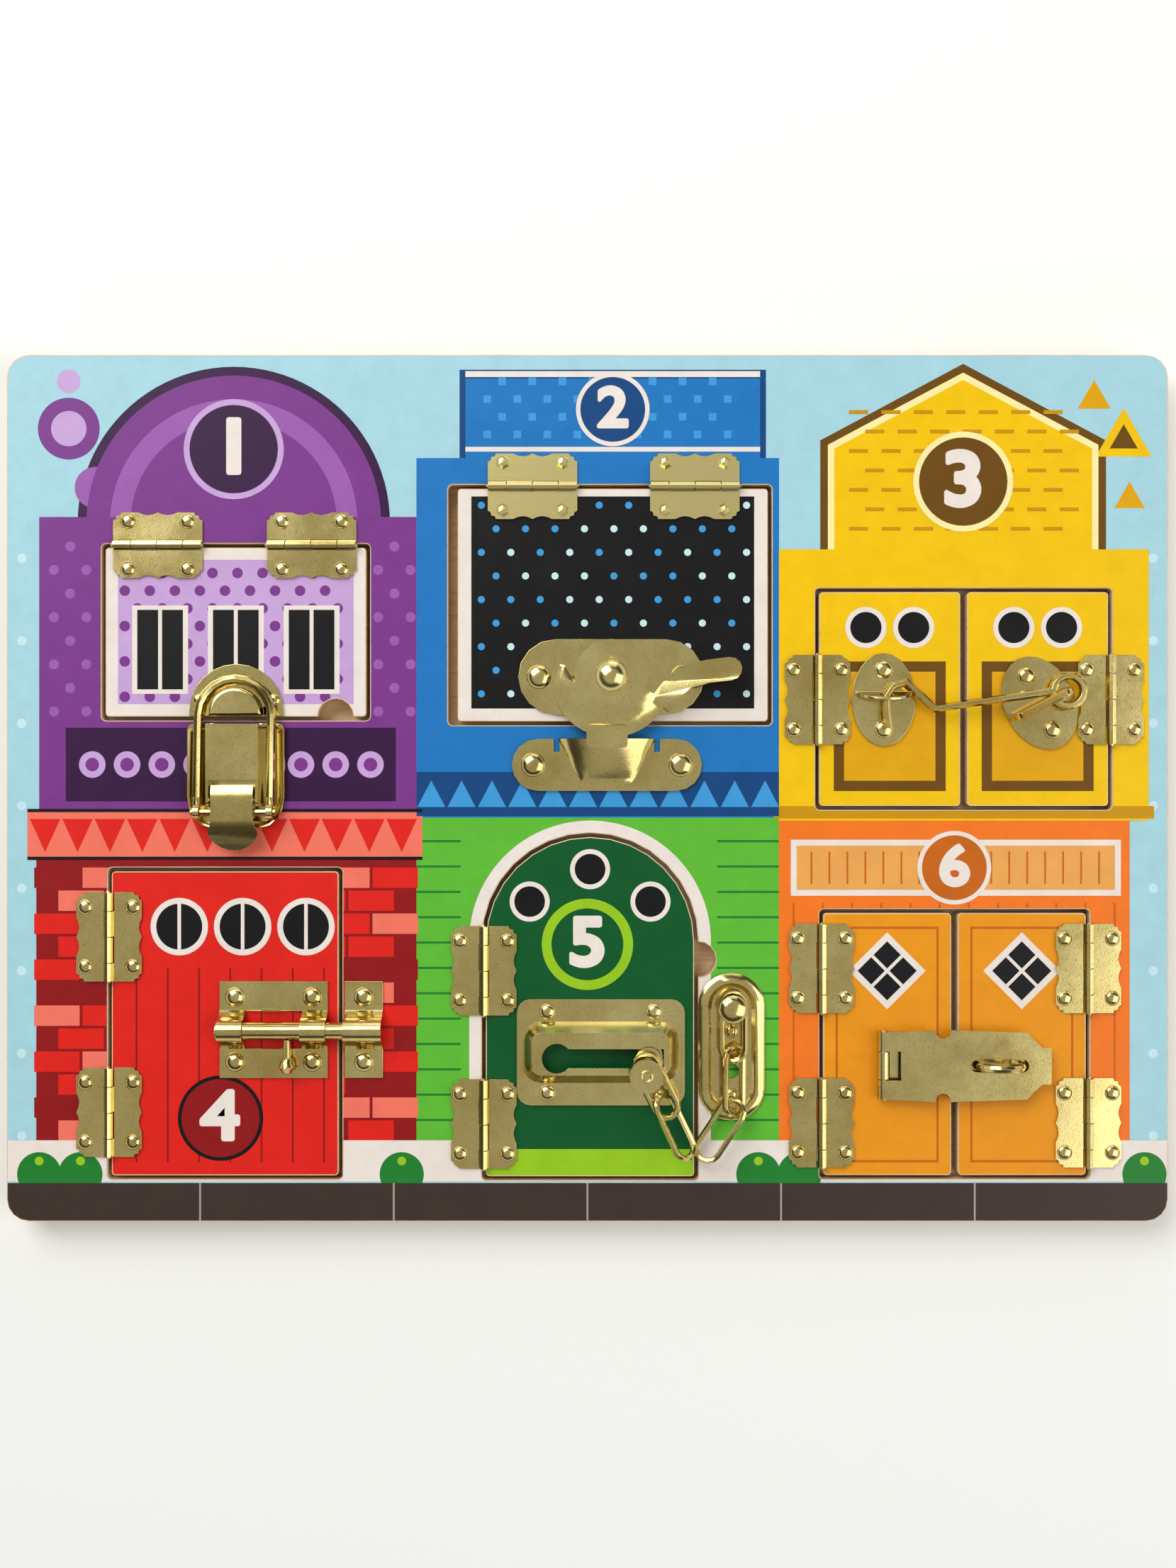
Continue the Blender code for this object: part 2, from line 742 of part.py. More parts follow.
def leaf_shapes(own, with_pin, with_shanks):
    """The shapes of one leaf, not yet joined."""
    bottom = -KNUCKLE_RADIUS
    bore = 0 if with_pin else PIN_RADIUS + RUNNING
    shapes = [sheet([leaf_outline(own)], bottom, LEAF_THICKNESS)]
    for number in own:
        high, low = knuckle_spans()[number]
        shapes.append(barrel(KNUCKLE_RADIUS, bore, low, high, LEAF_STEPS))
    for side in (-1, 1):
        place = (LEAF_RIVET_ACROSS, side * LEAF_RIVET_ALONG, bottom + LEAF_THICKNESS)
        shapes.append(
            dome(place, LEAF_RIVET_RADIUS, LEAF_RIVET_HEIGHT, LEAF_THICKNESS / 2, 2 * SHANK_STEPS)
        )
        if with_shanks:
            shank = rod(LEAF_RIVET_RADIUS / 2, LEAF_THICKNESS + 2 * TOUCH, 2 * SHANK_STEPS)
            shapes.append(moved(shank, (*place[:2], bottom)))
    if with_pin:
        reach = LEAF_LENGTH / 2 + PIN_PROUD
        shapes.append(barrel(PIN_RADIUS, 0, -reach, reach, 2 * SHANK_STEPS))
        for shape in shapes:
            moved(shape, (0, 0, 0), pi)
    return shapes


def fuse(name, settings, shapes):
    """Makes brass shapes one body with a wooden part, each kind of face with its own finish."""
    part = bpy.data.objects[name]
    joint = part.parent
    made = keep(joined(part, *shapes), name, settings, joint).data
    made.materials.append(material(BRASS))
    for face in made.polygons:
        face.material_index = 1 if face.center.z > FACE + WELD else 0


def build_hinges(joints):
    """Fourteen like hinges. The fixed leaf is a moving leaf's blank turned round, with the pin in it.

    Hinges 2, which the picture hides, are one body with the door and the frame that carry them.
    """
    turns = {"left": 0, "right": pi, "top": -pi / 2}
    carried = {"fixed": [], "moving": []}
    for key, place, edge, share in HINGE_SHARES:
        line = hinge_line(key, edge)
        if edge == "top":
            centre = (share * BOARD_WIDTH, line, PIN_HEIGHT)
        else:
            centre = (line, share * BOARD_HEIGHT, PIN_HEIGHT)
        door = "door_" + key
        if key in "36":
            door += "_" + edge
        for suffix, joint in (("fixed", None), ("moving", joints[door])):
            shapes = leaf_shapes((1, 3), suffix == "fixed", key == "2")
            for shape in shapes:
                moved(shape, centre, turns[edge])
            if key == "2":
                carried[suffix] += shapes
            else:
                keep(joined(*shapes), "hinge_" + key + "_" + place + "_" + suffix, BRASS, joint)
    fuse("front_frame", COLOURS["board"], carried["fixed"])
    fuse("door_2", COLOURS["2"], carried["moving"])


# Bent and lofted sheet


def ribbon(points, thickness):
    """The outline of a bent sheet, from the line along its middle."""
    sides = ([], [])
    for i, point in enumerate(points):
        before = Vector(points[max(i - 1, 0)])
        after = Vector(points[min(i + 1, len(points) - 1)])
        here = Vector(point)
        normals = []
        for run in (here - before, after - here):
            if run.length > WELD:
                normals.append(Vector((-run.y, run.x)).normalized())
        normal = sum(normals, Vector((0, 0))).normalized()
        reach = thickness / 2 / max(normal.dot(normals[0]), 0.5)
        sides[0].append(tuple(here + normal * reach))
        sides[1].append(tuple(here - normal * reach))
    return sides[0] + sides[1][::-1]


def along_x(outlines, start, length):
    """Outlines in Y and Z, drawn out along X."""
    obj = sheet(outlines, start, length)
    obj.data.transform(Matrix(((0, 0, 1, 0), (1, 0, 0, 0), (0, 1, 0, 0), (0, 0, 0, 1))))
    return obj


def lofted(rows):
    """A closed solid through a row of like closed outlines."""
    bm = skin(rows, (0, -1))
    mesh = bpy.data.meshes.new("loft")
    bm.to_mesh(mesh)
    bm.free()
    return loose(mesh)


def lofted_sheet(rows, thickness):
    """A sheet through open rows of points, thickened downwards."""
    bm = bmesh.new()
    lines = [[bm.verts.new(place) for place in row] for row in rows]
    for low, high in zip(lines, lines[1:]):
        for i in range(len(low) - 1):
            bm.faces.new((low[i], low[i + 1], high[i + 1], high[i]))
    return thickened(bm, thickness)


def inset(outline, amount):
    """The outline drawn in from its own box by the amount."""
    xs = [point[0] for point in outline]
    ys = [point[1] for point in outline]
    middle = ((min(xs) + max(xs)) / 2, (min(ys) + max(ys)) / 2)
    width, height = max(xs) - min(xs), max(ys) - min(ys)
    return [
        (
            middle[0] + (x - middle[0]) * (width - 2 * amount) / width,
            middle[1] + (y - middle[1]) * (height - 2 * amount) / height,
        )
        for x, y in outline
    ]


def stadium(centre, length, width, steps=8, upright=False):
    """A slot shape: two half rounds joined by straight sides."""
    reach = (length - width) / 2
    right = arc((reach, 0), width / 2, -pi / 2, pi / 2, steps)
    outline = right + [(-x, -y) for x, y in right]
    if upright:
        outline = [(-y, x) for x, y in outline]
    return [(centre[0] + x, centre[1] + y) for x, y in outline]


def cross_rod(radius, length, centre, axis="Y", steps=SMALL_STEPS):
    """A cylinder laid along X or Y."""
    turn, about = (pi / 2, "Y") if axis == "X" else (pi / 2, "X")
    return moved(rod(radius, length, steps), centre, turn, about)


# Draw catch: a strike with a nose on the door, and a lever that pulls a wire bail over it


def half_round(centre_x, low, width, length, steps=12):
    """A plate with a half-round top and a straight foot."""
    radius = width / 2
    crown = arc((centre_x, low + length - radius), radius, 0, pi, steps)
    return crown + [(centre_x - radius, low), (centre_x + radius, low)]


def build_strike(x, y, joint):
    outline = half_round(x, y + STRIKE_EDGE, STRIKE_WIDTH, STRIKE_LENGTH)
    strike = sheet([outline], SEAT, STRIKE_THICKNESS)
    top = SEAT + STRIKE_THICKNESS
    foot = half_round(x, y + STRIKE_EDGE, NOSE_WIDTH, NOSE_LENGTH)
    crown = half_round(
        x,
        y + STRIKE_EDGE + NOSE_INSET / 2,
        NOSE_WIDTH - 2 * NOSE_INSET,
        NOSE_LENGTH - 1.5 * NOSE_INSET,
    )
    shoulder = NOSE_HEIGHT - NOSE_INSET / 2
    nose = lofted(
        [
            level(foot, top - STRIKE_THICKNESS / 2),
            level(inset(foot, NOSE_INSET / 4), top + shoulder),
            level(crown, top + NOSE_HEIGHT),
        ]
    )
    rivets = [
        dome(
            (x + side * STRIKE_RIVET_ACROSS, y + STRIKE_EDGE + STRIKE_RIVET_UP, top),
            STRIKE_RIVET_RADIUS,
            STRIKE_RIVET_HEIGHT,
            STRIKE_THICKNESS / 2,
        )
        for side in (-1, 1)
    ]
    keep(joined(strike, nose, *rivets), "catch_strike", BRASS, joint)


def catch_base_outline(x, y):
    """Square shoulders above, and a foot that narrows in two quarter ovals."""
    half = BASE_WIDTH / 2
    corner = BASE_TAPER / 4
    top = y - BASE_TOP
    low = top - BASE_LENGTH
    head = rounded(x - half, x + half, top - 2 * corner, top, corner, 2)
    outline = head[: len(head) // 2]
    drop = BASE_TAPER * 1.3
    for i in range(5):
        angle = pi / 2 * i / 4
        outline.append((x - half + BASE_TAPER * (1 - cos(angle)), low + drop * (1 - sin(angle))))
    for i in range(5):
        angle = pi / 2 * (4 - i) / 4
        outline.append((x + half - BASE_TAPER * (1 - cos(angle)), low + drop * (1 - sin(angle))))
    return outline


def build_catch_base(x, y, pivot):
    outline = catch_base_outline(x, y)
    base = stamped(
        [
            level(outline, SEAT + BASE_THICKNESS + BASE_RIM),
            level(inset(outline, BASE_THICKNESS), SEAT + BASE_THICKNESS + BASE_RIM * 0.8),
            level(inset(outline, 2 * BASE_THICKNESS), SEAT + BASE_THICKNESS),
        ],
        BASE_THICKNESS,
    )
    half = BRACKET_WIDTH / 2
    top = SEAT + BRACKET_HEIGHT
    root = SEAT + BASE_THICKNESS / 2
    front = y - BRACKET_TOP
    back = front - BRACKET_LENGTH
    shell = block((x - half, back, root), (x + half, front, top))
    hollow = block(
        (x - half + BRACKET_WALL, back - OVERRUN, root - OVERRUN),
        (x + half - BRACKET_WALL, front + OVERRUN, top - BRACKET_WALL),
    )
    bracket = cut(shell, hollow)
    ears = []
    outline = [(back + BRACKET_WALL, root), (back + BRACKET_WALL, top)]
    outline += arc(pivot[1:], EAR_RADIUS, pi / 2, 3 * pi / 2, 8)
    for side in (-1, 1):
        start = x + side * half - (BRACKET_WALL if side > 0 else 0)
        ears.append(along_x([outline], start, BRACKET_WALL))
    pin = cross_rod(LEVER_PIVOT_RADIUS, BRACKET_WIDTH - BRACKET_WALL, pivot, "X")
    keep(joined(base, bracket, *ears, pin), "catch_base")


def lever_outline(x, y):
    """Plan of the lever: near parallel, then flared, with a round end."""
    radius = (LEVER_FLARE**2 / 4 + LEVER_ROUND**2) / (2 * LEVER_ROUND)
    spread = asin(LEVER_FLARE / 2 / radius)
    end = arc(
        (x, y - LEVER_REACH + radius),
        radius,
        -pi / 2 - spread,
        -pi / 2 + spread,
        10,
    )
    waist = (LEVER_REACH - LEVER_ROUND) * 0.6
    side = (
        (LEVER_WIDTH / 2, -waist),
        (LEVER_WIDTH / 2, LEVER_HEEL + OVERRUN),
    )
    right = [(x + dx, y + dy) for dx, dy in side]
    left = [(x - dx, y + dy) for dx, dy in reversed(side)]
    return end + right + left


def build_lever(x, pivot, joint):
    y, z = pivot[1:]
    line = [
        (y + LEVER_HEEL, z + LEVER_RISE * 0.55),
        (y + LEVER_HEEL * 0.6, z + LEVER_RISE * 0.92),
        (y, z + LEVER_RISE),
        (y - LEVER_REACH * 0.35, z + LEVER_RISE),
        (y - LEVER_REACH * 0.62, z + LEVER_RISE * 0.4),
        (y - LEVER_REACH * 0.85, z - LEVER_DROP * 0.5),
        (y - LEVER_REACH, z - LEVER_DROP),
    ]
    lever = along_x([ribbon(line, LEVER_THICKNESS)], x - LEVER_FLARE, 2 * LEVER_FLARE)
    lever = common(lever, sheet([lever_outline(x, y)], FACE, 2 * BRACKET_HEIGHT))
    hub = EAR_RADIUS * 0.9
    cheek = [(y + hub, z + LEVER_RISE), (y - CROSS_PIN_OFFSET - hub, z + LEVER_RISE)]
    cheek += arc((y - CROSS_PIN_OFFSET, z), hub, pi, 3 * pi / 2, 4)
    cheek += arc((y, z), hub, 3 * pi / 2, 2 * pi, 4)
    cheeks = []
    for side in (-1, 1):
        inner = LEVER_WIDTH / 2 - LEVER_CHEEK
        start = x + inner if side > 0 else x - inner - LEVER_CHEEK
        cheeks.append(along_x([cheek], start, LEVER_CHEEK))
    lever = joined(lever, *cheeks)
    bore = LEVER_PIVOT_RADIUS + RUNNING
    lever = cut(lever, cross_rod(bore, 2 * BRACKET_WIDTH, pivot, "X"))
    place = (x, y - CROSS_PIN_OFFSET, z)
    pin = cross_rod(CROSS_PIN_RADIUS, CROSS_PIN_LENGTH, place, "X")
    keep(joined(lever, pin), "catch_lever", BRASS, joint)


def build_bail(x, y, pin, joint):
    half = BAIL_SPREAD / 2
    low = SEAT + BAIL_LIFT
    centre = y + BAIL_TOP - half
    start = pin[1] + BAIL_EYE_RADIUS
    plan = [(x + half, start), (x + half, (start + centre) / 2)]
    plan += arc((x, centre), half, 0, pi, 10)
    plan += [(x - half, (start + centre) / 2), (x - half, start)]
    reach = centre + half - pin[1]
    points = [
        (px, py, pin[2] + (low - pin[2]) * (py - pin[1]) / reach) for px, py in plan
    ]
    bail = wire(points, BAIL_RADIUS, sides=2)
    eyes, bores = [], []
    for side in (-1, 1):
        place = (x + side * half, *pin[1:])
        eyes.append(cross_rod(BAIL_EYE_RADIUS, BAIL_EYE_WIDTH, place, "X", ROUND_STEPS))
        eyes[-1] = joined(eyes[-1], block(
            (place[0] - BAIL_EYE_WIDTH / 2, pin[1], pin[2] - BAIL_RADIUS),
            (place[0] + BAIL_EYE_WIDTH / 2, start + BAIL_EYE_RADIUS, pin[2] + BAIL_RADIUS * 0.7),
        ))
        bores.append(
            cross_rod(CROSS_PIN_RADIUS + RUNNING, 2 * BAIL_EYE_RADIUS, place, "X")
        )
    keep(cut(joined(bail, *eyes), *bores), "catch_bail", BRASS, joint)


def build_catch(joints):
    x = CATCH_SHARE * BOARD_WIDTH
    y = cutout("1")[2] + DOOR_GAP / 2
    pivot = (x, y - LEVER_PIVOT_DOWN, FACE + LEVER_PIVOT_HEIGHT)
    pin = (x, pivot[1] - CROSS_PIN_OFFSET, pivot[2])
    build_strike(x, y, joints["door_1"])
    build_catch_base(x, y, pivot)
    build_lever(x, pivot, empty("catch_lever_axis", pivot))
    build_bail(x, y, pin, empty("catch_bail_axis", pin))


# Sash lock: a pressed cam that turns on a post and slides under the keeper's tab


def polar(centre, radius, angle):
    return (centre[0] + radius * cos(angle), centre[1] + radius * sin(angle))


def cam_levels():
    """Underside of the cam's rim, and of the keeper's tab above it."""
    rim = SEAT + SASH_PLATE_THICKNESS + CAM_LIFT
    return rim, rim + CAM_THICKNESS + CAM_RISE * CAM_BAND_SHARE + RUNNING


def build_sash_plate(pivot, joint):
    top = SEAT + SASH_PLATE_THICKNESS
    outline = stadium(pivot, SASH_PLATE_LENGTH, SASH_PLATE_WIDTH)
    plate = sheet([outline], SEAT, SASH_PLATE_THICKNESS)
    head = cam_levels()[0] + CAM_RISE + CAM_FLARE_HEIGHT + CAM_THICKNESS + RUNNING
    post = turned(
        (
            (0, head + SASH_HEAD_HEIGHT),
            (SASH_HEAD_RADIUS * 0.5, head + SASH_HEAD_HEIGHT * 0.88),
            (SASH_HEAD_RADIUS * 0.85, head + SASH_HEAD_HEIGHT * 0.5),
            (SASH_HEAD_RADIUS, head),
            (SASH_POST_RADIUS, head),
            (SASH_POST_RADIUS, top - SASH_PLATE_THICKNESS / 2),
            (0, top - SASH_PLATE_THICKNESS / 2),
        ),
        2 * SMALL_STEPS,
    )
    shapes = [moved(post, (*pivot, 0))]
    for side in (-1, 1):
        place = (pivot[0] + side * SASH_RIVET_ACROSS, pivot[1], top)
        shapes.append(
            dome(place, SASH_RIVET_RADIUS, SASH_RIVET_HEIGHT, SASH_PLATE_THICKNESS / 2)
        )
    keep(joined(plate, *shapes), "sash_plate", BRASS, joint)


def crescent_outline(pivot):
    """The cam's lower band, from the horn's tip round to the root of the handle."""
    horn, full, root, last = (radians(a) for a in (167, 212, 196, 338))
    outer, inner = [], []
    for i in range(19):
        angle = horn + (last - horn) * i / 18
        share = min((angle - horn) / (full - horn), 1)
        outer.append(
            polar(pivot, HORN_RADIUS + (CAM_RIM_RADIUS - HORN_RADIUS) * sin(share * pi / 2), angle)
        )
    for i in range(9):
        angle = last + (horn - last) * i / 8
        share = min(max((root - angle) / (root - horn), 0), 1)
        reach = HORN_RADIUS - HORN_WIDTH - CAM_DISC_RADIUS * 0.8
        inner.append(polar(pivot, CAM_DISC_RADIUS * 0.8 + reach * share**0.6, angle))
    return outer + inner


def build_cam(pivot, joint):
    rim = cam_levels()[0]
    bore = SASH_POST_RADIUS + RUNNING
    middle = (CAM_DISC_RADIUS + CAM_RIM_RADIUS) / 2
    upper = [
        (bore, CAM_RISE + CAM_FLARE_HEIGHT),
        (CAM_FLARE_RADIUS * 0.76, CAM_RISE + CAM_FLARE_HEIGHT),
        (CAM_FLARE_RADIUS, CAM_RISE),
        (CAM_DISC_RADIUS, CAM_RISE),
        (middle, CAM_RISE * CAM_BAND_SHARE),
        (CAM_RIM_RADIUS + OVERRUN, 0),
    ]
    profile = [(r, z + CAM_THICKNESS) for r, z in upper] + upper[::-1]
    dish = turned([*profile, profile[0]], 4 * SMALL_STEPS)
    dish = moved(dish, (*pivot, rim))
    low, tall = SEAT, 2 * BRACKET_HEIGHT
    disc = sheet([arc(pivot, CAM_DISC_RADIUS, 0, 2 * pi * 31 / 32, 31)], low, tall)
    plan = joined(disc, sheet([crescent_outline(pivot)], low, tall))
    cam = common(dish, plan)
    root = (CAM_RIM_RADIUS * 0.80, -CAM_RIM_RADIUS * 0.46)
    elbow = CAM_RIM_RADIUS * 1.2
    tip = HANDLE_LENGTH - HANDLE_WIDTH / 2
    rise = HANDLE_WIDTH * 0.3
    line = [
        root,
        ((root[0] + elbow) / 2, root[1] * 0.45),
        (elbow, -HANDLE_WIDTH * 0.06),
        ((elbow + tip) / 2, rise * 0.6),
        (tip, rise),
    ]
    strip = ribbon(line, HANDLE_WIDTH)
    ends = len(line)
    nose = arc((0, 0), HANDLE_WIDTH / 2, pi / 2, -pi / 2, 6)
    tilt = atan2(line[-1][1] - line[-2][1], line[-1][0] - line[-2][0])
    nose = [
        (tip + a * cos(tilt) - b * sin(tilt), rise + a * sin(tilt) + b * cos(tilt))
        for a, b in nose[1:-1]
    ]
    strip = strip[:ends] + nose + strip[ends:]
    handle = sheet([strip], 0, CAM_THICKNESS)
    for vert in handle.data.vertices:
        share = min(max((vert.co.x - root[0]) / (elbow - root[0]), 0), 1)
        vert.co.z += rim + HANDLE_RISE * share
    cam = joined(cam, moved(handle, (*pivot, 0)))
    keep(cam, "sash_cam", BRASS, joint)


def build_keeper(pivot, edge):
    x = pivot[0] - KEEPER_OFFSET
    top = edge - KEEPER_DROP
    centre = (x, top - KEEPER_WIDTH / 2)
    plate = sheet([stadium(centre, KEEPER_LENGTH, KEEPER_WIDTH)], SEAT, KEEPER_THICKNESS)
    notches = []
    for side in (-1, 1):
        middle = x + side * (KEEPER_ARCH_WIDTH / 2 + KEEPER_THICKNESS / 2)
        notches.append(
            block(
                (middle - KEEPER_THICKNESS, top - KEEPER_NOTCH, FACE - OVERRUN),
                (middle + KEEPER_THICKNESS, top + OVERRUN, FACE + 2 * OVERRUN),
            )
        )
    plate = cut(plate, *notches)
    tab_low = cam_levels()[1]
    crown = tab_low + KEEPER_THICKNESS - SEAT
    rows = []
    for i in range(6):
        share = i / 5
        half = (KEEPER_ARCH_FOOT + (KEEPER_ARCH_WIDTH - KEEPER_ARCH_FOOT) * share) / 2
        height = KEEPER_THICKNESS + (crown - KEEPER_THICKNESS) * share**0.8
        y = top - KEEPER_WIDTH * 0.93 * (1 - share)
        row = []
        for j in range(11):
            angle = pi - pi * j / 10
            row.append(
                (
                    x + half * cos(angle),
                    y,
                    SEAT + KEEPER_THICKNESS + (height - KEEPER_THICKNESS) * sin(angle) ** 1.3,
                )
            )
        rows.append(row)
    arch = lofted_sheet(rows, KEEPER_THICKNESS * 0.9)
    half = TAB_WIDTH / 2
    tab = sheet(
        [rounded(x - half, x + half, top - TAB_REACH * 0.7, top + TAB_REACH, TAB_REACH * 0.3, 2)],
        tab_low,
        KEEPER_THICKNESS,
    )
    rivets = [
        dome(
            (x + side * KEEPER_RIVET_ACROSS, centre[1], SEAT + KEEPER_THICKNESS),
            SASH_RIVET_RADIUS,
            SASH_RIVET_HEIGHT,
            KEEPER_THICKNESS / 2,
        )
        for side in (-1, 1)
    ]
    keep(joined(plate, arch, tab, *rivets), "sash_keeper")


def build_sash_lock(joints):
    edge = cutout("2")[2]
    pivot = (SASH_SHARE * BOARD_WIDTH, edge + DOOR_GAP + SASH_UP)
    build_sash_plate(pivot, joints["door_2"])
    build_cam(pivot, empty("sash_cam_axis", (*pivot, cam_levels()[0])))
    build_keeper(pivot, edge)


# Hook on a wire eye, over both doors 3


def build_hook_plate(centre, hook, joint):
    top = SEAT + HOOK_PLATE_THICKNESS
    plate = sheet([oval(centre, HOOK_PLATE_WIDTH, HOOK_PLATE_LENGTH)], SEAT, HOOK_PLATE_THICKNESS)
    rise = top - HOOK_PLATE_THICKNESS / 2
    half = HOOK_PLATE_WIDTH * 0.44
    outline = [
        (centre[0] + half * cos(a), rise + FLANGE_HEIGHT * sin(a))
        for a in (pi * i / 14 for i in range(15))
    ]
    hook_z = SEAT + HOOK_LEVEL
    hole = arc((hook[0], hook_z), FLANGE_HOLE, 0, 2 * pi * 15 / 16, 15)
    flange = sheet([outline, hole], 0, FLANGE_THICKNESS)
    lay = Matrix(((1, 0, 0, 0), (0, 0, 1, hook[1]), (0, 1, 0, 0), (0, 0, 0, 1)))
    flange.data.transform(lay)
    for vert in flange.data.vertices:
        vert.co.y -= FLANGE_LEAN * (vert.co.z - hook_z) / FLANGE_HEIGHT
    bm = bmesh.new()
    bm.from_mesh(flange.data)
    bmesh.ops.recalc_face_normals(bm, faces=bm.faces)
    bm.to_mesh(flange.data)
    bm.free()
    rivets = [
        dome(
            (centre[0], centre[1] + side * HOOK_RIVET_ALONG, top),
            HOOK_RIVET_RADIUS,
            HOOK_RIVET_HEIGHT,
            HOOK_PLATE_THICKNESS / 2,
        )
        for side in (-1, 1)
    ]
    keep(joined(plate, flange, *rivets), "hook_plate", BRASS, joint)


def bridge_points(start, end, low, high, bend):
    """A staple's line: up, over with two rounded bends, and down."""
    start, end = Vector((*start, 0)), Vector((*end, 0))
    along = (end - start).normalized()
    points = []
    for foot, way in ((start, along), (end, -along)):
        leg = [foot + Vector((0, 0, low))]
        for i in range(4):
            angle = pi / 2 * i / 3
            lift = Vector((0, 0, high - bend * (1 - sin(angle))))
            leg.append(foot + way * (bend * (1 - cos(angle))) + lift)
        points += leg if foot is start else leg[::-1]
    return points


def build_eye_plate(centre, eye, joint):
    top = SEAT + HOOK_PLATE_THICKNESS
    outline = oval(centre, EYE_PLATE_WIDTH, EYE_PLATE_LENGTH, EYE_PLATE_TILT)
    plate = sheet([outline], SEAT, HOOK_PLATE_THICKNESS)
    rivets = []
    for side in (-1, 1):
        place = polar(centre, side * HOOK_RIVET_ALONG, EYE_PLATE_TILT + pi / 2)
        rivets.append(
            dome((*place, top), HOOK_RIVET_RADIUS, HOOK_RIVET_HEIGHT, HOOK_PLATE_THICKNESS / 2)
        )
    far = polar(eye, STAPLE_REACH, STAPLE_TURN)
    root = top - HOOK_PLATE_THICKNESS / 2
    points = bridge_points(eye, far, root, SEAT + STAPLE_HEIGHT, STAPLE_BEND)
    keep(joined(plate, *rivets, wire(points, STAPLE_WIRE)), "hook_eye_plate", BRASS, joint)


def build_hook(eye, reach, joint):
    height = SEAT + HOOK_LEVEL
    points = [(eye[0] + a * reach, eye[1] + b * reach, height) for a, b in HOOK_SHARES]
    shank = wire(points, HOOK_WIRE)
    ring = wire(level(arc(eye, EYE_RADIUS, 0, 2 * pi * 15 / 16, 15), height), HOOK_WIRE, True)
    keep(joined(shank, ring), "hook", BRASS, joint)


def build_hook_pair(joints):
    """Both plates lie just clear of their door's hinge, and the hook spans from one to the other."""
    y = HOOK_SHARE * BOARD_HEIGHT
    left = hinge_line("3", "left") + LEAF_REACH + HOOK_PLATE_CLEAR + HOOK_PLATE_WIDTH / 2
    half = hypot(
        EYE_PLATE_WIDTH / 2 * cos(EYE_PLATE_TILT), EYE_PLATE_LENGTH / 2 * sin(EYE_PLATE_TILT)
    )
    right = hinge_line("3", "right") - LEAF_REACH - EYE_PLATE_CLEAR - half
    eye = (right + EYE_OUT, y + EYE_UP)
    reach = eye[0] - left
    hook = (left, eye[1] + HOOK_SHARES[2][1] * reach)
    build_hook_plate((left, y + FLANGE_UP), hook, joints["door_3_left"])
    build_eye_plate((right, y - EYE_PLATE_DOWN), eye, joints["door_3_right"])
    build_hook(eye, reach, empty("hook_axis", (*eye, SEAT + HOOK_LEVEL)))


# Barrel bolt: a rod through two straps, and a keeper on the frame


def bolt_axis():
    return SEAT + BOLT_SHEET + RUNNING + BOLT_ROD_RADIUS


def bolt_saddle(start, length, y):
    """Bent sheet with two flat feet and a half-round saddle over the rod."""
    low = SEAT + BOLT_SHEET / 2
    radius = BOLT_ROD_RADIUS + RUNNING + BOLT_SHEET / 2
    line = [
        (-BOLT_PLATE_WIDTH / 2, low),
        (-BOLT_SADDLE_FOOT, low),
        (-BOLT_SADDLE_NECK, (low + bolt_axis()) / 2),
    ]
    crown = arc((0, bolt_axis()), radius, pi, 0, 8)
    line += crown + [(-a, b) for a, b in reversed(line)]
    outline = [(y + a, b) for a, b in ribbon(line, BOLT_SHEET)]
    return along_x([outline], start, length)


def bolt_rivets(places, y):
    return [
        dome(
            (x, y + side * BOLT_RIVET_UP, SEAT + BOLT_SHEET),
            BOLT_RIVET_RADIUS,
            BOLT_RIVET_HEIGHT,
            BOLT_SHEET / 2,
        )
        for x in places
        for side in (-1, 1)
    ]


def build_bolt_plate(x, y, joint):
    right = x - BOLT_PLATE_IN
    left = right - BOLT_PLATE_LENGTH
    plate = bolt_saddle(left, BOLT_PLATE_LENGTH, y)
    window = block(
        (left + BOLT_STRAP, y - BOLT_SADDLE_FOOT, FACE - OVERRUN),
        (right - BOLT_STRAP, y + BOLT_SADDLE_FOOT, FACE + BOLT_PLATE_WIDTH),
    )
    plate = cut(plate, window)
    middle = (left + right - BOLT_TAB_HEIGHT) / 2
    shapes = bolt_rivets((left + BOLT_RIVET_INSET, right - BOLT_RIVET_INSET), y)
    for side in (-1, 1):
        edge = y + side * (BOLT_SADDLE_FOOT + BOLT_SHEET / 2)
        shapes.append(
            block(
                (middle - BOLT_TAB_LENGTH / 2, edge - BOLT_SHEET / 2 - WELD, SEAT + WELD),
                (
                    middle + BOLT_TAB_LENGTH / 2,
                    edge + BOLT_SHEET / 2,
                    SEAT + BOLT_SHEET + BOLT_TAB_HEIGHT,
                ),
            )
        )
    keep(joined(plate, *shapes), "bolt_plate", BRASS, joint)


def build_bolt_keeper(x, y):
    start = x + BOLT_KEEPER_OUT
    keeper = bolt_saddle(start, BOLT_KEEPER_LENGTH, y)
    rivets = bolt_rivets((start + BOLT_KEEPER_LENGTH / 2,), y)
    keep(joined(keeper, *rivets), "bolt_keeper")


def build_bolt_rod(x, y, joint):
    length = BOLT_ROD_TIP + BOLT_ROD_TAIL
    middle = x + (BOLT_ROD_TIP - BOLT_ROD_TAIL) / 2
    chamfer = BOLT_ROD_RADIUS * 0.2
    profile = (
        (0, length / 2),
        (BOLT_ROD_RADIUS - chamfer, length / 2),
        (BOLT_ROD_RADIUS, length / 2 - chamfer),
        (BOLT_ROD_RADIUS, chamfer - length / 2),
        (BOLT_ROD_RADIUS - chamfer, -length / 2),
        (0, -length / 2),
    )
    shape = moved(turned(profile, 2 * SMALL_STEPS), (middle, y, bolt_axis()), pi / 2, "Y")
    keep(shape, "bolt_rod", BRASS, joint)


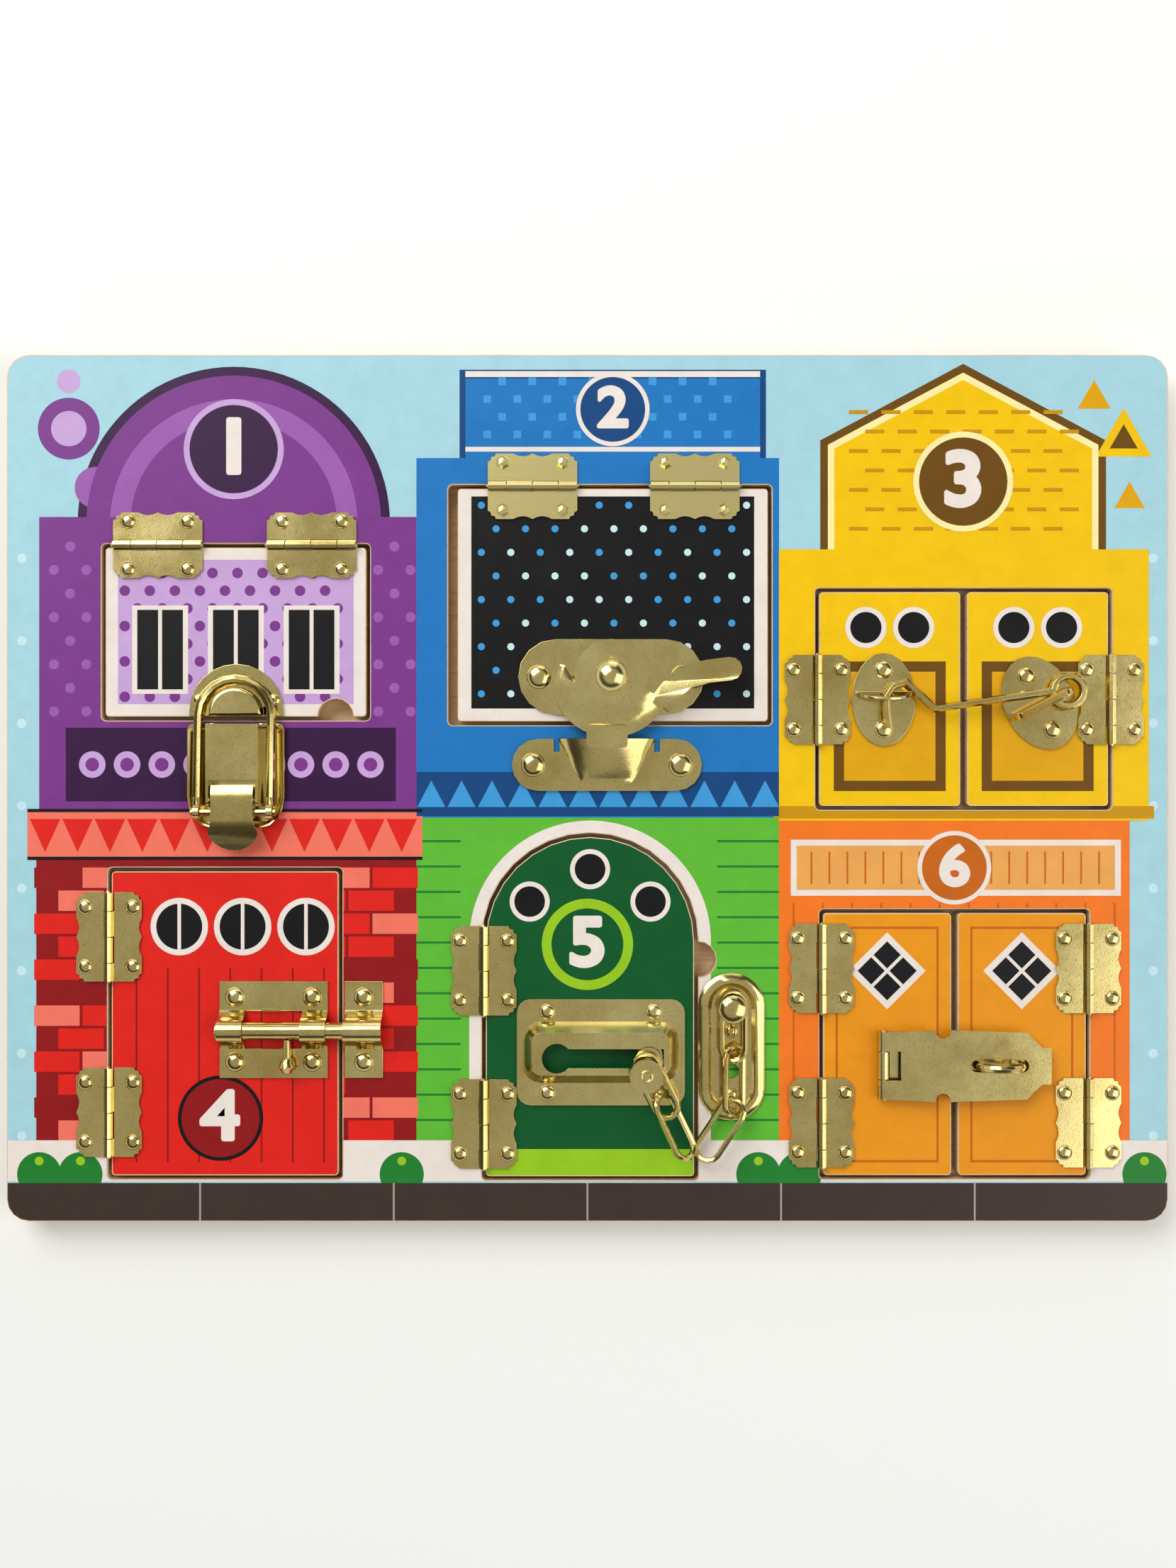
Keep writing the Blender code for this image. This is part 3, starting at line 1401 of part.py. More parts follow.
def build_bolt_knob(x, y, joint):
    """Round stem and head, screwed into the rod's side."""
    place = (x - BOLT_KNOB_IN, y, bolt_axis())
    neck = BOLT_ROD_RADIUS - RUNNING
    profile = (
        (0, BOLT_KNOB_LENGTH),
        (BOLT_KNOB_END * 0.55, BOLT_KNOB_LENGTH - BOLT_KNOB_END * 0.15),
        (BOLT_KNOB_END, BOLT_KNOB_LENGTH - BOLT_KNOB_END * 0.8),
        (BOLT_KNOB_END * 0.8, BOLT_KNOB_LENGTH - BOLT_KNOB_END * 1.5),
        (BOLT_KNOB_RADIUS, BOLT_KNOB_LENGTH - BOLT_KNOB_END * 1.9),
        (BOLT_KNOB_RADIUS, neck),
        (0, neck),
    )
    knob = moved(moved(turned(profile), (0, 0, 0), pi / 2, "X"), place)
    clear = cross_rod(BOLT_ROD_RADIUS + TOUCH, BOLT_PLATE_LENGTH, place, "X", 2 * SMALL_STEPS)
    keep(cut(knob, clear), "bolt_knob", BRASS, joint)


def build_bolt(joints):
    x = cutout("4")[1] - DOOR_GAP / 2
    y = BOLT_SHARE * BOARD_HEIGHT
    build_bolt_plate(x, y, joints["door_4"])
    build_bolt_keeper(x, y)
    build_bolt_rod(x, y, empty("bolt_slide", (x, y, bolt_axis())))
    build_bolt_knob(x, y, empty("bolt_knob_axis", (x - BOLT_KNOB_IN, y, bolt_axis())))


# Door chain: a slotted tray on the door, a sliding slug, five links and an anchor dish


def build_slot_plate(x, y, joint):
    right = x - SLOT_PLATE_IN
    left = right - SLOT_PLATE_LENGTH
    middle = ((left + right) / 2, y + SLOT_PLATE_UP)
    top = SEAT + SLOT_SHEET

    def outline(length, width, corner, height):
        return level(
            rounded(
                middle[0] - length / 2,
                middle[0] + length / 2,
                middle[1] - width / 2,
                middle[1] + width / 2,
                corner,
            ),
            height,
        )

    slope = 2 * TRAY_SLOPE
    plate = stamped(
        [
            outline(SLOT_PLATE_LENGTH, SLOT_PLATE_WIDTH, SLOT_PLATE_CORNER, top),
            outline(TRAY_LENGTH, TRAY_WIDTH, TRAY_CORNER, top),
            outline(
                TRAY_LENGTH - slope, TRAY_WIDTH - slope, TRAY_CORNER - TRAY_SLOPE, top + TRAY_HEIGHT
            ),
        ],
        SLOT_SHEET,
    )
    key = x - KEYHOLE_IN
    spread = asin(SLOT_HALF_WIDTH / KEYHOLE_RADIUS)
    hole = arc((key, y), KEYHOLE_RADIUS, spread, 2 * pi - spread, 16)
    hole += [(x - SLOT_RIGHT, y - SLOT_HALF_WIDTH), (x - SLOT_RIGHT, y + SLOT_HALF_WIDTH)]
    plate = cut(plate, sheet([hole], FACE, 2 * SLOT_PLATE_WIDTH))
    rivets = [
        dome(
            (middle[0] + a * SLOT_RIVET_ACROSS, middle[1] + b * SLOT_RIVET_UP, top),
            SLOT_RIVET_RADIUS,
            SLOT_RIVET_HEIGHT,
            SLOT_SHEET / 2,
        )
        for a in (-1, 1)
        for b in (-1, 1)
    ]
    keep(joined(plate, *rivets), "chain_slot_plate", BRASS, joint)


def build_anchor(x, y):
    centre = (x + ANCHOR_OUT, y + ANCHOR_UP)
    top = SEAT + ANCHOR_SHEET

    def outline(inward, height):
        length = ANCHOR_LENGTH - 2 * inward
        return level(stadium(centre, length, ANCHOR_WIDTH - 2 * inward, 12, True), height)

    dish = stamped(
        [
            outline(0, top),
            outline(ANCHOR_RIDGE_IN, SEAT + ANCHOR_RIDGE),
            outline(ANCHOR_RIDGE_IN * 1.5, SEAT + ANCHOR_RIDGE),
            outline(ANCHOR_FLOOR_IN, top + ANCHOR_FLOOR - ANCHOR_SHEET),
        ],
        ANCHOR_SHEET,
    )
    hole = cross_hole((centre[0], centre[1] - ANCHOR_HOLE_DOWN), ANCHOR_HOLE_RADIUS)
    dish = cut(dish, hole)
    floor = top + ANCHOR_FLOOR - ANCHOR_SHEET
    rivets = [
        dome(
            (centre[0], centre[1] + up, floor),
            ANCHOR_RIVET_RADIUS,
            ANCHOR_RIVET_HEIGHT,
            ANCHOR_SHEET / 2,
        )
        for up in (ANCHOR_RIVET_UP, -ANCHOR_RIVET_DOWN)
    ]
    head = SEAT + CHAIN_LEVEL + 2 * LINK_WIRE + STUD_SPARE
    stud = turned(
        (
            (0, head + STUD_HEAD_HEIGHT),
            (STUD_HEAD_RADIUS * 0.55, head + STUD_HEAD_HEIGHT * 0.85),
            (STUD_HEAD_RADIUS * 0.9, head + STUD_HEAD_HEIGHT * 0.45),
            (STUD_HEAD_RADIUS, head),
            (STUD_NECK_RADIUS, head),
            (STUD_NECK_RADIUS, floor - ANCHOR_SHEET / 2),
            (0, floor - ANCHOR_SHEET / 2),
        ),
        2 * SMALL_STEPS,
    )
    stud = moved(stud, (centre[0], centre[1] + STUD_UP, 0))
    keep(joined(dish, stud, *rivets), "chain_anchor")


def cross_hole(place, radius):
    return moved(rod(radius, 4 * FACE, SMALL_STEPS * 2), (*place, FACE))


def build_slug(x, y, joint):
    """Headed stud that runs in the slot, leaning as the chain pulls it."""
    ceiling = SEAT + TRAY_HEIGHT
    foot = Vector((x - SLUG_IN, y + SLOT_HALF_WIDTH / 4, ceiling - RUNNING - SLUG_HEAD_THICKNESS))
    head = moved(rod(SLUG_HEAD_RADIUS, SLUG_HEAD_THICKNESS, 2 * SMALL_STEPS), foot)
    head = moved(head, (0, 0, SLUG_HEAD_THICKNESS / 2))
    run = SLUG_HEIGHT - TRAY_HEIGHT
    lean = Vector((-SLUG_LEAN_X, -SLUG_LEAN_Y, run))
    high = foot + Vector((0, 0, SLUG_HEAD_THICKNESS)) + lean
    neck = wire([foot + Vector((0, 0, SLUG_HEAD_THICKNESS / 2)), high], SLUG_NECK_RADIUS, sides=2)
    disc = moved(rod(SLUG_DISC_RADIUS, SLUG_DISC_THICKNESS, 2 * SMALL_STEPS), high)
    share = (SLOT_SHEET + RUNNING * 2 + SLUG_FLANGE_THICKNESS) / run
    place = foot + Vector((0, 0, SLUG_HEAD_THICKNESS)) + lean * share
    flange = moved(rod(SLUG_FLANGE_RADIUS, SLUG_FLANGE_THICKNESS, 2 * SMALL_STEPS), place)
    keep(joined(head, neck, disc, flange), "chain_slug", BRASS, joint)
    return foot + Vector((0, 0, SLUG_HEAD_THICKNESS)) + lean * 0.6


def link_frame(x, y, name):
    """Middle, long axis and rolled cross axis of a link."""
    across, up, turns, first, last, roll = LINK_SHARES[name]
    angle = 2 * pi * turns
    middle = Vector(
        (
            x + across * LINK_LENGTH,
            y + up * LINK_LENGTH,
            SEAT + CHAIN_LEVEL + LINK_LENGTH * (first + last) / 2,
        )
    )
    way = Vector((cos(angle), sin(angle), last - first)).normalized()
    flat = Vector((-sin(angle), cos(angle), 0))
    normal = way.cross(flat).normalized()
    roll *= 2 * pi
    return middle, way, flat * cos(roll) + normal * sin(roll)


def link_end(x, y, name, end):
    """Where the next link hangs: the middle of this link's end bend."""
    middle, way, _ = link_frame(x, y, name)
    return middle + way * (end * (LINK_LENGTH - LINK_WIDTH) / 2)


def build_link(x, y, name, joint):
    middle, way, across = link_frame(x, y, name)
    outline = stadium((0, 0), LINK_LENGTH - 2 * LINK_WIRE, LINK_WIDTH - 2 * LINK_WIRE, 6)
    points = [middle + way * a + across * b for a, b in outline]
    keep(wire(points, LINK_WIRE, True), "chain_" + name, BRASS, joint)


def build_chain(joints):
    x = cutout("5")[1] - DOOR_GAP / 2
    y = CHAIN_SHARE * BOARD_HEIGHT
    build_slot_plate(x, y, joints["door_5"])
    build_anchor(x, y)
    slide = empty("chain_slide", (x - SLUG_IN, y, SEAT))
    neck = build_slug(x, y, slide)
    stud = Vector((x + ANCHOR_OUT, y + ANCHOR_UP + STUD_UP, SEAT + CHAIN_LEVEL))
    pivots = {
        "link_a": stud,
        "link_b": link_end(x, y, "link_a", 1),
        "link_c": link_end(x, y, "link_b", 1),
        "link_e": neck,
        "link_d": link_end(x, y, "link_e", 1),
    }
    for name, place in pivots.items():
        build_link(x, y, name, empty("chain_" + name + "_axis", place))


# Hasp: a base leaf, a slotted strap that folds over it, and a staple


def hasp_barrel(x, y, start, length):
    return cross_rod(HASP_KNUCKLE_RADIUS, length, (x, y + start + length / 2, hasp_axis()), "Y", 12)


def hasp_axis():
    return SEAT + HASP_KNUCKLE_RADIUS


def build_hasp_base(x, y, joint):
    """Leaf under the strap, with the middle knuckle and the pin."""
    half = HASP_WIDTH / 2
    reach = HASP_BASE_REACH
    corner = HASP_BASE_CORNER
    knuckle = HASP_KNUCKLE_LENGTH / 2
    clear = HASP_KNUCKLE_RADIUS + RUNNING
    right = arc((x + reach - corner, y - half + corner), corner, -pi / 2, 0, 4)
    right += arc((x + reach - corner, y + half - corner), corner, 0, pi / 2, 4)
    outline = right + [
        (x + clear, y + half),
        (x + clear, y + knuckle),
        (x, y + knuckle),
        (x, y - knuckle),
        (x + clear, y - knuckle),
        (x + clear, y - half),
    ]
    leaf = sheet([outline], SEAT, HASP_SHEET)
    barrel = hasp_barrel(x, y, -knuckle, 2 * knuckle)
    pin = cross_rod(HASP_PIN_RADIUS, HASP_WIDTH + 2 * PIN_PROUD, (x, y, hasp_axis()), "Y")
    rivets = [
        dome(
            (x + reach * 0.6, y + side * half * 0.55, SEAT + HASP_SHEET),
            HASP_RIVET_RADIUS,
            HASP_RIVET_HEIGHT,
            HASP_SHEET / 2,
        )
        for side in (-1, 1)
    ]
    keep(joined(leaf, barrel, pin, *rivets), "hasp_base", BRASS, joint)


def hasp_edge():
    """Lower edge of the strap from its pin to its tip, as steps along and out."""
    half = HASP_WIDTH / 2
    tip = HASP_TIP_WIDTH / 2
    edge = [(0, half)]
    notch = arc((HASP_NOTCH_OUT, half + HASP_NOTCH_RADIUS * 0.2), HASP_NOTCH_RADIUS, -pi * 1.04, pi * 0.04, 8)
    edge += notch
    edge += [(HASP_SHOULDER, half)]
    drop = half - tip
    for i in range(1, 5):
        angle = pi / 2 * i / 4
        edge.append((HASP_SHOULDER + drop * sin(angle), tip + drop * (1 - sin(angle)) * 0.9))
    edge += [(HASP_LENGTH, tip), (HASP_LENGTH + WAVE_DEPTH / 4, tip * 0.9)]
    return edge


def build_hasp_strap(x, y, joint):
    knuckle = HASP_KNUCKLE_LENGTH / 2 + RUNNING
    half = HASP_WIDTH / 2
    window = HASP_KNUCKLE_RADIUS + HASP_WINDOW
    lower = [(x + a, y - b) for a, b in hasp_edge()]
    upper = [(x + a, y + b) for a, b in reversed(hasp_edge())]
    outline = lower + upper
    outline += [(x, y + knuckle), (x + window, y + knuckle), (x + window, y - knuckle), (x, y - knuckle)]
    slot = stadium((x + HASP_SLOT_OUT, y), HASP_SLOT_LENGTH, HASP_SLOT_WIDTH, 6)
    top = hasp_axis() + HASP_KNUCKLE_RADIUS
    strap = sheet([outline, slot], top - HASP_SHEET, HASP_SHEET)
    barrels = [
        hasp_barrel(x, y, knuckle, half - knuckle),
        hasp_barrel(x, y, -half, half - knuckle),
    ]
    strap = joined(strap, *barrels)
    bore = cross_rod(HASP_PIN_RADIUS + RUNNING, 2 * HASP_WIDTH, (x, y, hasp_axis()), "Y")
    keep(cut(strap, bore), "hasp_strap", BRASS, joint)


def build_hasp_staple(x, y, joint):
    """Plate under the strap with the wire loop that stands through its slot."""
    centre = x + HASP_SLOT_OUT
    outline = rounded(
        centre - HASP_STAPLE_PLATE_LENGTH / 2,
        centre + HASP_STAPLE_PLATE_LENGTH / 2,
        y - HASP_STAPLE_PLATE_WIDTH / 2,
        y + HASP_STAPLE_PLATE_WIDTH / 2,
        HASP_BASE_CORNER * 0.6,
        3,
    )
    plate = sheet([outline], SEAT, HASP_SHEET)
    half = HASP_STAPLE_SPREAD / 2
    root = SEAT + HASP_SHEET / 2
    crown = HASP_STAPLE_HEIGHT - HASP_STAPLE_WIRE - half
    points = [(centre + half, y, root)]
    points += [(a, y, b) for a, b in arc((centre, SEAT + crown), half, 0, pi, 10)]
    points += [(centre - half, y, root)]
    rivets = [
        dome(
            (centre, y + side * HASP_STAPLE_PLATE_WIDTH * 0.32, SEAT + HASP_SHEET),
            HASP_RIVET_RADIUS,
            HASP_RIVET_HEIGHT,
            HASP_SHEET / 2,
        )
        for side in (-1, 1)
    ]
    loop = wire(points, HASP_STAPLE_WIRE, sides=2)
    keep(joined(plate, loop, *rivets), "hasp_staple", BRASS, joint)


def build_hasp(joints):
    left, right = cutout("6")[:2]
    x = (left + right) / 2 - HASP_PIN_IN
    y = HASP_SHARE * BOARD_HEIGHT
    build_hasp_base(x, y, joints["door_6_left"])
    build_hasp_strap(x, y, empty("hasp_strap_axis", (x, y, hasp_axis())))
    build_hasp_staple(x, y, joints["door_6_right"])


# The whole board

build_board()
door_joints = build_doors()
build_hinges(door_joints)
build_catch(door_joints)
build_sash_lock(door_joints)
build_hook_pair(door_joints)
build_bolt(door_joints)
build_chain(door_joints)
build_hasp(door_joints)
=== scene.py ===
import json
from math import cos, pi, radians, sin

import bpy
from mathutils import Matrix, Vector


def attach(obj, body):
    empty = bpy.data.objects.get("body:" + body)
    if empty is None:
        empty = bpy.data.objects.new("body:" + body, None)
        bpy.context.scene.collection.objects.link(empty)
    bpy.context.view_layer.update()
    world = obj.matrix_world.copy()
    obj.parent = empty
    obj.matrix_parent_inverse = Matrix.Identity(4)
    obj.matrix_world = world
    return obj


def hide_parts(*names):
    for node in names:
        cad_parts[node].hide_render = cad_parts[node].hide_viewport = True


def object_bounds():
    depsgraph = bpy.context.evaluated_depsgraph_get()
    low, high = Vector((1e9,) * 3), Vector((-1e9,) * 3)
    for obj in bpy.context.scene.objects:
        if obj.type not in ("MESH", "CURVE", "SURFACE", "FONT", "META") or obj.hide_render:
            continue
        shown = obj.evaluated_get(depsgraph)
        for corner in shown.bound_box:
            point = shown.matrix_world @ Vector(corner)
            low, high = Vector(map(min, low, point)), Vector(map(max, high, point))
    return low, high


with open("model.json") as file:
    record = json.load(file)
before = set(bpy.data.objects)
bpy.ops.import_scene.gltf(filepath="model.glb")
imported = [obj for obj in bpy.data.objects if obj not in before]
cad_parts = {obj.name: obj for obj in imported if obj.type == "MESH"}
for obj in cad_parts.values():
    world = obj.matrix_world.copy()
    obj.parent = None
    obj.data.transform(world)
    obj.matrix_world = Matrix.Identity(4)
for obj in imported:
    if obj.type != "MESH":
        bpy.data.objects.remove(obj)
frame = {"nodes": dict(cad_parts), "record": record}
cadBox = [list(corner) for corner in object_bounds()]
print("frame loaded:", len(frame["nodes"]), "nodes")

mm = 0.001
faceHeight = 12 * mm
boardWide, boardTall = (round((cadBox[1][axis] - cadBox[0][axis]) / mm, 1) for axis in (0, 1))
bodyOfNode = {
    node: body for body, nodes in frame["record"]["behaviour"]["bodies"].items() for node in nodes
}


def toLinear(hexColour):
    channels = [int(hexColour[i:i + 2], 16) / 255 for i in (1, 3, 5)]
    linear = [c / 12.92 if c <= 0.04045 else ((c + 0.055) / 1.055) ** 2.4 for c in channels]
    return (*linear, 1.0)


def addNode(tree, kind, settings=None, links=None):
    node = tree.nodes.new(kind)
    for key, value in (settings or {}).items():
        if isinstance(key, int) or key in node.inputs:
            node.inputs[key].default_value = value
        else:
            setattr(node, key, value)
    for key, socket in (links or {}).items():
        tree.links.new(socket, node.inputs[key])
    return node


def colourSteps(node, steps):
    # a new ramp already has its first and last step
    ramp = node.color_ramp
    while len(ramp.elements) < len(steps):
        ramp.elements.new(0.5)
    for element, (place, colour) in zip(ramp.elements, steps):
        element.position = place
        element.color = toLinear(colour)
    return node


def newMaterial(name):
    material = bpy.data.materials.new(name)
    material.use_nodes = True
    tree = material.node_tree
    return material, tree, tree.nodes["Principled BSDF"]


# camera
cameraSettings = {
    "middle": (0.0002, 0.0014),
    "height": 0.612,
    "lens": 54.12,
    "sensor": 36.0,
}
cameraData = bpy.data.cameras.new("overheadCamera")
cameraData.sensor_fit = "HORIZONTAL"
cameraData.sensor_width = cameraSettings["sensor"]
cameraData.lens = cameraSettings["lens"]
camera = bpy.data.objects.new("overheadCamera", cameraData)
camera.location = (*cameraSettings["middle"], cameraSettings["height"])
bpy.context.scene.collection.objects.link(camera)
bpy.context.scene.camera = camera
bpy.context.scene.view_settings.view_transform = "Standard"
print("camera set")

# lamps: soft boxes that look at the board
lampSettings = {
    "keyBox": {"place": (-0.75, 0.95, 1.35), "size": 1.2, "power": 22.0},
    "fillBox": {"place": (1.15, -0.35, 1.25), "size": 1.3, "power": 11.0},
    "backBox": {"place": (0.2, 1.6, 0.7), "size": 1.1, "power": 4.0},
}
for lampName, lamp in lampSettings.items():
    lampData = bpy.data.lights.new(lampName, "AREA")
    lampData.shape = "SQUARE"
    lampData.size = lamp["size"]
    lampData.energy = lamp["power"]
    lampObject = bpy.data.objects.new(lampName, lampData)
    lampObject.location = lamp["place"]
    lampObject.rotation_euler = (-Vector(lamp["place"])).to_track_quat("-Z", "Y").to_euler()
    bpy.context.scene.collection.objects.link(lampObject)

# a pale dome, whose dark band high above the horizon draws the metal
domeSettings = {
    "steps": (
        (0.0, "#D8D8D6"), (0.5, "#F6F6F4"), (0.68, "#F0EFEC"), (0.71, "#6E6C67"),
        (0.79, "#484641"), (0.87, "#5C5A54"), (0.91, "#BDBCB4"), (1.0, "#BFBEB6"),
    ),
    "strength": 0.92,
}
world = bpy.data.worlds.new("studioDome")
bpy.context.scene.world = world
world.use_nodes = True
domeTree = world.node_tree
domePlace = addNode(domeTree, "ShaderNodeTexCoord").outputs["Generated"]
domeHeight = addNode(domeTree, "ShaderNodeSeparateXYZ", {}, {"Vector": domePlace}).outputs["Z"]
domeShare = addNode(domeTree, "ShaderNodeMapRange", {"From Min": -1.0, "From Max": 1.0}, {"Value": domeHeight})
domeRamp = colourSteps(
    addNode(domeTree, "ShaderNodeValToRGB", {}, {"Fac": domeShare.outputs["Result"]}),
    domeSettings["steps"],
)
domeLight = domeTree.nodes["Background"]
domeLight.inputs["Strength"].default_value = domeSettings["strength"]
domeTree.links.new(domeRamp.outputs["Color"], domeLight.inputs["Color"])
print("lamps and dome set")

# materials; nearly all of a noise texture's values lie in this span
noiseLow, noiseHigh = 0.3, 0.7
noiseSpan = {"From Min": noiseLow, "From Max": noiseHigh}

plateSettings = {
    "deep": "#C5AD68",
    "bright": "#E4D594",
    "dullness": (0.11, 0.19),
    "smudge": 28 * mm,
    "speck": 0.6 * mm,
    "speckDepth": 0.05 * mm,
    "speckStrength": 0.22,
    "steel": "#6B5630",
    "steelSpan": (0.58, 0.74),
    "steelShare": 0.6,
}


def brassPlatedSteel(name):
    # thin bright plate on rolled steel: fine specks of the sheet, cloudy smudges in the shine
    material, tree, shader = newMaterial(name)
    place = addNode(tree, "ShaderNodeTexCoord").outputs["Object"]
    speck = addNode(
        tree, "ShaderNodeTexNoise",
        {"Scale": 1 / plateSettings["speck"], "Detail": 3.0, "Roughness": 0.6}, {"Vector": place},
    )
    smudge = addNode(
        tree, "ShaderNodeTexNoise",
        {"Scale": 1 / plateSettings["smudge"], "Detail": 5.0, "Roughness": 0.65}, {"Vector": place},
    )
    tint = colourSteps(
        addNode(tree, "ShaderNodeValToRGB", {}, {"Fac": smudge.outputs["Fac"]}),
        ((noiseLow, plateSettings["deep"]), (noiseHigh, plateSettings["bright"])),
    )
    # the steel darkens the specks where the plate is thin
    steelFrom, steelTo = plateSettings["steelSpan"]
    steelShare = addNode(
        tree, "ShaderNodeMapRange",
        {"From Min": steelFrom, "From Max": steelTo, "To Min": 0.0, "To Max": plateSettings["steelShare"]},
        {"Value": speck.outputs["Fac"]},
    )
    specked = addNode(
        tree, "ShaderNodeMix", {"data_type": "RGBA", 7: toLinear(plateSettings["steel"])},
        {0: steelShare.outputs["Result"], 6: tint.outputs["Color"]},
    )
    polished, worn = plateSettings["dullness"]
    dullness = addNode(
        tree, "ShaderNodeMapRange", {**noiseSpan, "To Min": polished, "To Max": worn},
        {"Value": smudge.outputs["Fac"]},
    )
    grain = addNode(
        tree, "ShaderNodeBump",
        {"Strength": plateSettings["speckStrength"], "Distance": plateSettings["speckDepth"]},
        {"Height": speck.outputs["Fac"]},
    )
    shader.inputs["Metallic"].default_value = 1.0
    tree.links.new(specked.outputs[2], shader.inputs["Base Color"])
    tree.links.new(dullness.outputs["Result"], shader.inputs["Roughness"])
    tree.links.new(grain.outputs["Normal"], shader.inputs["Normal"])
    return material


woodSettings = {
    "dark": "#B48F66",
    "pale": "#E2C7A0",
    "fibre": 1.4 * mm,
    "fibreStretch": (0.06, 1.0, 1.6),
    "fibreDepth": 0.08 * mm,
    "fibreStrength": 0.35,
    "ply": 24 * mm,
    "plyShare": 0.35,
    "toneSpan": (0.35, 0.85),
    "dullness": 0.62,
    "leafDullness": 0.24,
    "leafFoot": 0.15 * mm,
}


def sandedPlywood(name, platedAbove=None):
    # sanded board with a raw cut edge: long fibres on the faces, thin plies down the edge
    material, tree, shader = newMaterial(name)
    place = addNode(tree, "ShaderNodeTexCoord").outputs["Object"]
    stretch = addNode(tree, "ShaderNodeMapping", {"Scale": woodSettings["fibreStretch"]}, {"Vector": place})
    fibre = addNode(
        tree, "ShaderNodeTexNoise",
        {"Scale": 1 / woodSettings["fibre"], "Detail": 4.0, "Roughness": 0.6},
        {"Vector": stretch.outputs["Vector"]},
    )
    plies = addNode(
        tree, "ShaderNodeTexWave",
        {"bands_direction": "Z", "Scale": 1 / woodSettings["ply"], "Distortion": 0.4, "Detail": 1.0},
        {"Vector": place},
    )
    both = addNode(
        tree, "ShaderNodeMath", {"operation": "MULTIPLY_ADD", 1: woodSettings["plyShare"]},
        {0: plies.outputs["Fac"], 2: fibre.outputs["Fac"]},
    )
    darkAt, paleAt = woodSettings["toneSpan"]
    tone = colourSteps(
        addNode(tree, "ShaderNodeValToRGB", {}, {"Fac": both.outputs["Value"]}),
        ((darkAt, woodSettings["dark"]), (paleAt, woodSettings["pale"])),
    )
    grain = addNode(
        tree, "ShaderNodeBump",
        {"Strength": woodSettings["fibreStrength"], "Distance": woodSettings["fibreDepth"]},
        {"Height": fibre.outputs["Fac"]},
    )
    tree.links.new(grain.outputs["Normal"], shader.inputs["Normal"])
    if platedAbove is None:
        shader.inputs["Roughness"].default_value = woodSettings["dullness"]
        tree.links.new(tone.outputs["Color"], shader.inputs["Base Color"])
        return material
    # this board is one solid with the hinge leaves on its face, so it is plate above its face
    height = addNode(tree, "ShaderNodeSeparateXYZ", {}, {"Vector": place}).outputs["Z"]
    plated = addNode(
        tree, "ShaderNodeMath", {"operation": "GREATER_THAN", 1: platedAbove}, {0: height},
    ).outputs["Value"]
    finish = addNode(
        tree, "ShaderNodeMix", {"data_type": "RGBA", 7: toLinear(plateSettings["bright"])},
        {0: plated, 6: tone.outputs["Color"]},
    )
    dullness = addNode(
        tree, "ShaderNodeMapRange",
        {"To Min": woodSettings["dullness"], "To Max": woodSettings["leafDullness"]}, {"Value": plated},
    )
    tree.links.new(finish.outputs[2], shader.inputs["Base Color"])
    tree.links.new(plated, shader.inputs["Metallic"])
    tree.links.new(dullness.outputs["Result"], shader.inputs["Roughness"])
    return material


inkHexes = {
    "skyBlue": "#A3D0DC", "paleSky": "#C4E3EA", "white": "#E9DED6", "black": "#101012",
    "violet": "#793589", "deepViolet": "#35113F", "lilac": "#C3A0D4", "softViolet": "#9859AA",
    "blue": "#1C74BC", "deepBlue": "#0D447C", "brightBlue": "#3C97D6",
    "yellow": "#EFC000", "ochre": "#6A470B", "cream": "#F7E9A4", "honey": "#DDA206", "gold": "#C58F04",
    "red": "#DC2118", "deepRed": "#8E1216", "coral": "#EE7460",
    "green": "#5DB634", "leaf": "#1E7C2D", "deepGreen": "#045527", "lime": "#93C41D",
    "orange": "#F0761F", "amber": "#E69312", "burnt": "#C3620D", "tan": "#E7A352",
    "kerb": "#3D302B", "joint": "#A79D97",
}
printSettings = {
    "mottle": 9 * mm,
    "mottleLevels": (0.94, 1.05),
    "dullness": (0.3, 0.4),
    "gloss": 0.2,
    "peel": 1.6 * mm,
    "peelDepth": 0.05 * mm,
    "peelStrength": 0.05,
}
inks = {}


def lacqueredPrint(ink):
    # ink under clear lacquer: even colour, faint mottle of the print, soft orange-peel sheen
    if ink in inks:
        return inks[ink]
    material, tree, shader = newMaterial("lacquer_" + ink)
    place = addNode(tree, "ShaderNodeTexCoord").outputs["Object"]
    mottle = addNode(
        tree, "ShaderNodeTexNoise",
        {"Scale": 1 / printSettings["mottle"], "Detail": 6.0, "Roughness": 0.7}, {"Vector": place},
    )
    peel = addNode(
        tree, "ShaderNodeTexNoise", {"Scale": 1 / printSettings["peel"], "Detail": 2.0}, {"Vector": place},
    )
    darker, paler = printSettings["mottleLevels"]
    level = addNode(
        tree, "ShaderNodeMapRange", {**noiseSpan, "To Min": darker, "To Max": paler},
        {"Value": mottle.outputs["Fac"]},
    )
    tone = addNode(
        tree, "ShaderNodeHueSaturation", {"Color": toLinear(inkHexes[ink])}, {"Value": level.outputs["Result"]},
    )
    glossy, dull = printSettings["dullness"]
    dullness = addNode(
        tree, "ShaderNodeMapRange", {**noiseSpan, "To Min": glossy, "To Max": dull},
        {"Value": mottle.outputs["Fac"]},
    )
    ripple = addNode(
        tree, "ShaderNodeBump",
        {"Strength": printSettings["peelStrength"], "Distance": printSettings["peelDepth"]},
        {"Height": peel.outputs["Fac"]},
    )
    shader.inputs["Specular IOR Level"].default_value = printSettings["gloss"]
    tree.links.new(tone.outputs["Color"], shader.inputs["Base Color"])
    tree.links.new(dullness.outputs["Result"], shader.inputs["Roughness"])
    tree.links.new(ripple.outputs["Normal"], shader.inputs["Normal"])
    inks[ink] = material
    return material


